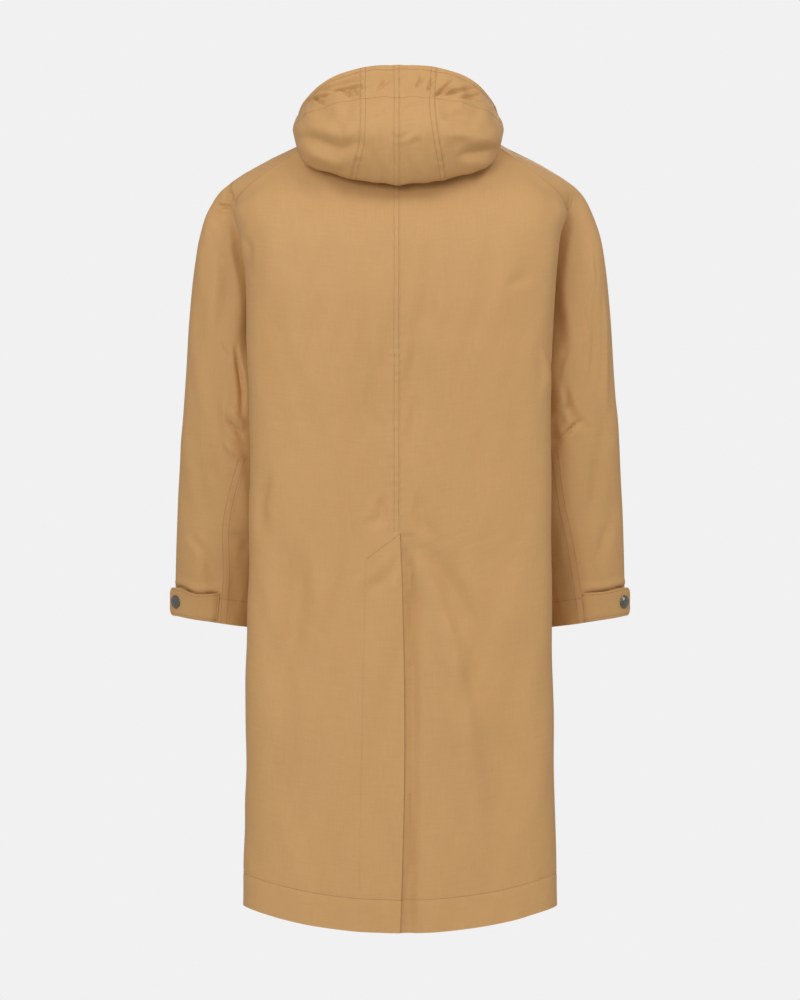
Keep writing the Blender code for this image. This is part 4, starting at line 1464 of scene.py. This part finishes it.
class PARKA_OT_stage(bpy.types.Operator):
    """Sets the pale floor and backdrop, the soft light and the camera"""

    bl_idname = "parka.stage"
    bl_label = "Stage"

    def execute(self, context):
        scene = context.scene
        settings = scene.parka_stage
        scene.view_settings.view_transform = "Standard"
        self.add_camera(scene, settings)
        self.add_backdrop(scene, settings)
        self.add_floor()
        for name, place, size, share in LIGHTS:
            self.add_light(name, place, size, share * settings.key)
        return {"FINISHED"}

    def add_camera(self, scene, settings):
        """Camera level with the middle of the coat, straight behind it."""
        lens = bpy.data.cameras.new("camera")
        lens.lens = settings.lens
        camera = bpy.data.objects.new("camera", lens)
        camera.location = (0.0, -settings.distance, CAMERA_HEIGHT)
        camera.rotation_euler = (math.radians(90), 0.0, 0.0)
        scene.collection.objects.link(camera)
        scene.camera = camera

    def add_backdrop(self, scene, settings):
        """Even pale grey where the camera sees past the coat, and soft light from all round."""
        world = bpy.data.worlds.new("studio")
        world.use_nodes = True
        tree = world.node_tree
        plain = tree.nodes["Background"]
        set_inputs(plain, {"Color": (settings.grey, settings.grey, settings.grey, 1.0)})
        soft = add_node(tree, "ShaderNodeBackground", {"Color": (1.0, 1.0, 1.0, 1.0)})
        place = tree.nodes.new("ShaderNodeTexCoord")
        split = tree.nodes.new("ShaderNodeSeparateXYZ")
        height = add_node(tree, "ShaderNodeMapRange", {
            "From Min": -1.0, "To Min": 0.95 * settings.ambient, "To Max": 1.05 * settings.ambient,
        })
        path = tree.nodes.new("ShaderNodeLightPath")
        mix = tree.nodes.new("ShaderNodeMixShader")
        link = tree.links.new
        link(place.outputs["Generated"], split.inputs["Vector"])
        link(split.outputs["Z"], height.inputs["Value"])
        link(height.outputs["Result"], soft.inputs["Strength"])
        link(path.outputs["Is Camera Ray"], mix.inputs["Fac"])
        link(soft.outputs["Background"], mix.inputs[1])
        link(plain.outputs["Background"], mix.inputs[2])
        link(mix.outputs["Shader"], tree.nodes["World Output"].inputs["Surface"])
        scene.world = world

    def add_floor(self):
        """Round pale floor under the coat, a thin disc with a rounded edge."""
        bpy.ops.object.select_all(action="DESELECT")
        bpy.ops.mesh.primitive_circle_add(vertices=96, radius=FLOOR_RADIUS, fill_type="NGON",
                                          location=(0, 0, FLOOR_HEIGHT))
        floor = bpy.context.object
        floor.name = "floor"
        apply_modifier(floor, "SOLIDIFY", thickness=0.02)
        apply_modifier(floor, "BEVEL", width=0.004, segments=3)
        looks, _, shader = new_finish("pale floor")
        set_inputs(shader, {"Base Color": (0.80, 0.80, 0.80, 1.0), "Roughness": 0.9})
        floor.data.materials.append(looks)

    def add_light(self, name, place, size, power):
        """Round soft light aimed at the coat."""
        data = bpy.data.lights.new(name, "AREA")
        data.shape = "DISK"
        data.size = size
        data.energy = power
        light = bpy.data.objects.new(name, data)
        light.location = place
        toward = Vector(LIGHT_TARGET) - Vector(place)
        light.rotation_euler = toward.to_track_quat("-Z", "Y").to_euler()
        bpy.context.scene.collection.objects.link(light)


class PARKA_PT_panel(bpy.types.Panel):
    """Sidebar list of the coat's pieces"""

    bl_idname = "PARKA_PT_panel"
    bl_label = "Hooded parka"
    bl_space_type = "VIEW_3D"
    bl_region_type = "UI"
    bl_category = "Parka"

    def draw(self, context):
        scene = context.scene
        for settings in (scene.parka_cloth, scene.parka_stitch, scene.parka_snap, scene.parka_stage):
            box = self.layout.box()
            for name in settings.__annotations__:
                box.prop(settings, name)
        for operator in OPERATORS:
            self.layout.operator(operator.bl_idname)


OPERATORS = (
    PARKA_OT_backs, PARKA_OT_fronts, PARKA_OT_sleeves, PARKA_OT_hood, PARKA_OT_cuff_tabs, PARKA_OT_snaps,
    PARKA_OT_stitching, PARKA_OT_stage,
)
SETTINGS = {
    "parka_cloth": ParkaClothSettings,
    "parka_stitch": ParkaStitchSettings,
    "parka_snap": ParkaSnapSettings,
    "parka_stage": ParkaStageSettings,
}


def register():
    for name, group in SETTINGS.items():
        bpy.utils.register_class(group)
        setattr(bpy.types.Scene, name, bpy.props.PointerProperty(type=group))
    for operator in OPERATORS:
        bpy.utils.register_class(operator)
    bpy.utils.register_class(PARKA_PT_panel)


def unregister():
    bpy.utils.unregister_class(PARKA_PT_panel)
    for operator in reversed(OPERATORS):
        bpy.utils.unregister_class(operator)
    for name, group in SETTINGS.items():
        delattr(bpy.types.Scene, name)
        bpy.utils.unregister_class(group)


def main():
    register()
    bpy.ops.parka.backs()
    bpy.ops.parka.fronts()
    bpy.ops.parka.sleeves()
    bpy.ops.parka.hood()
    bpy.ops.parka.cuff_tabs()
    bpy.ops.parka.snaps()
    bpy.ops.parka.stitching()
    bpy.ops.parka.stage()


if __name__ == "__main__":
    main()
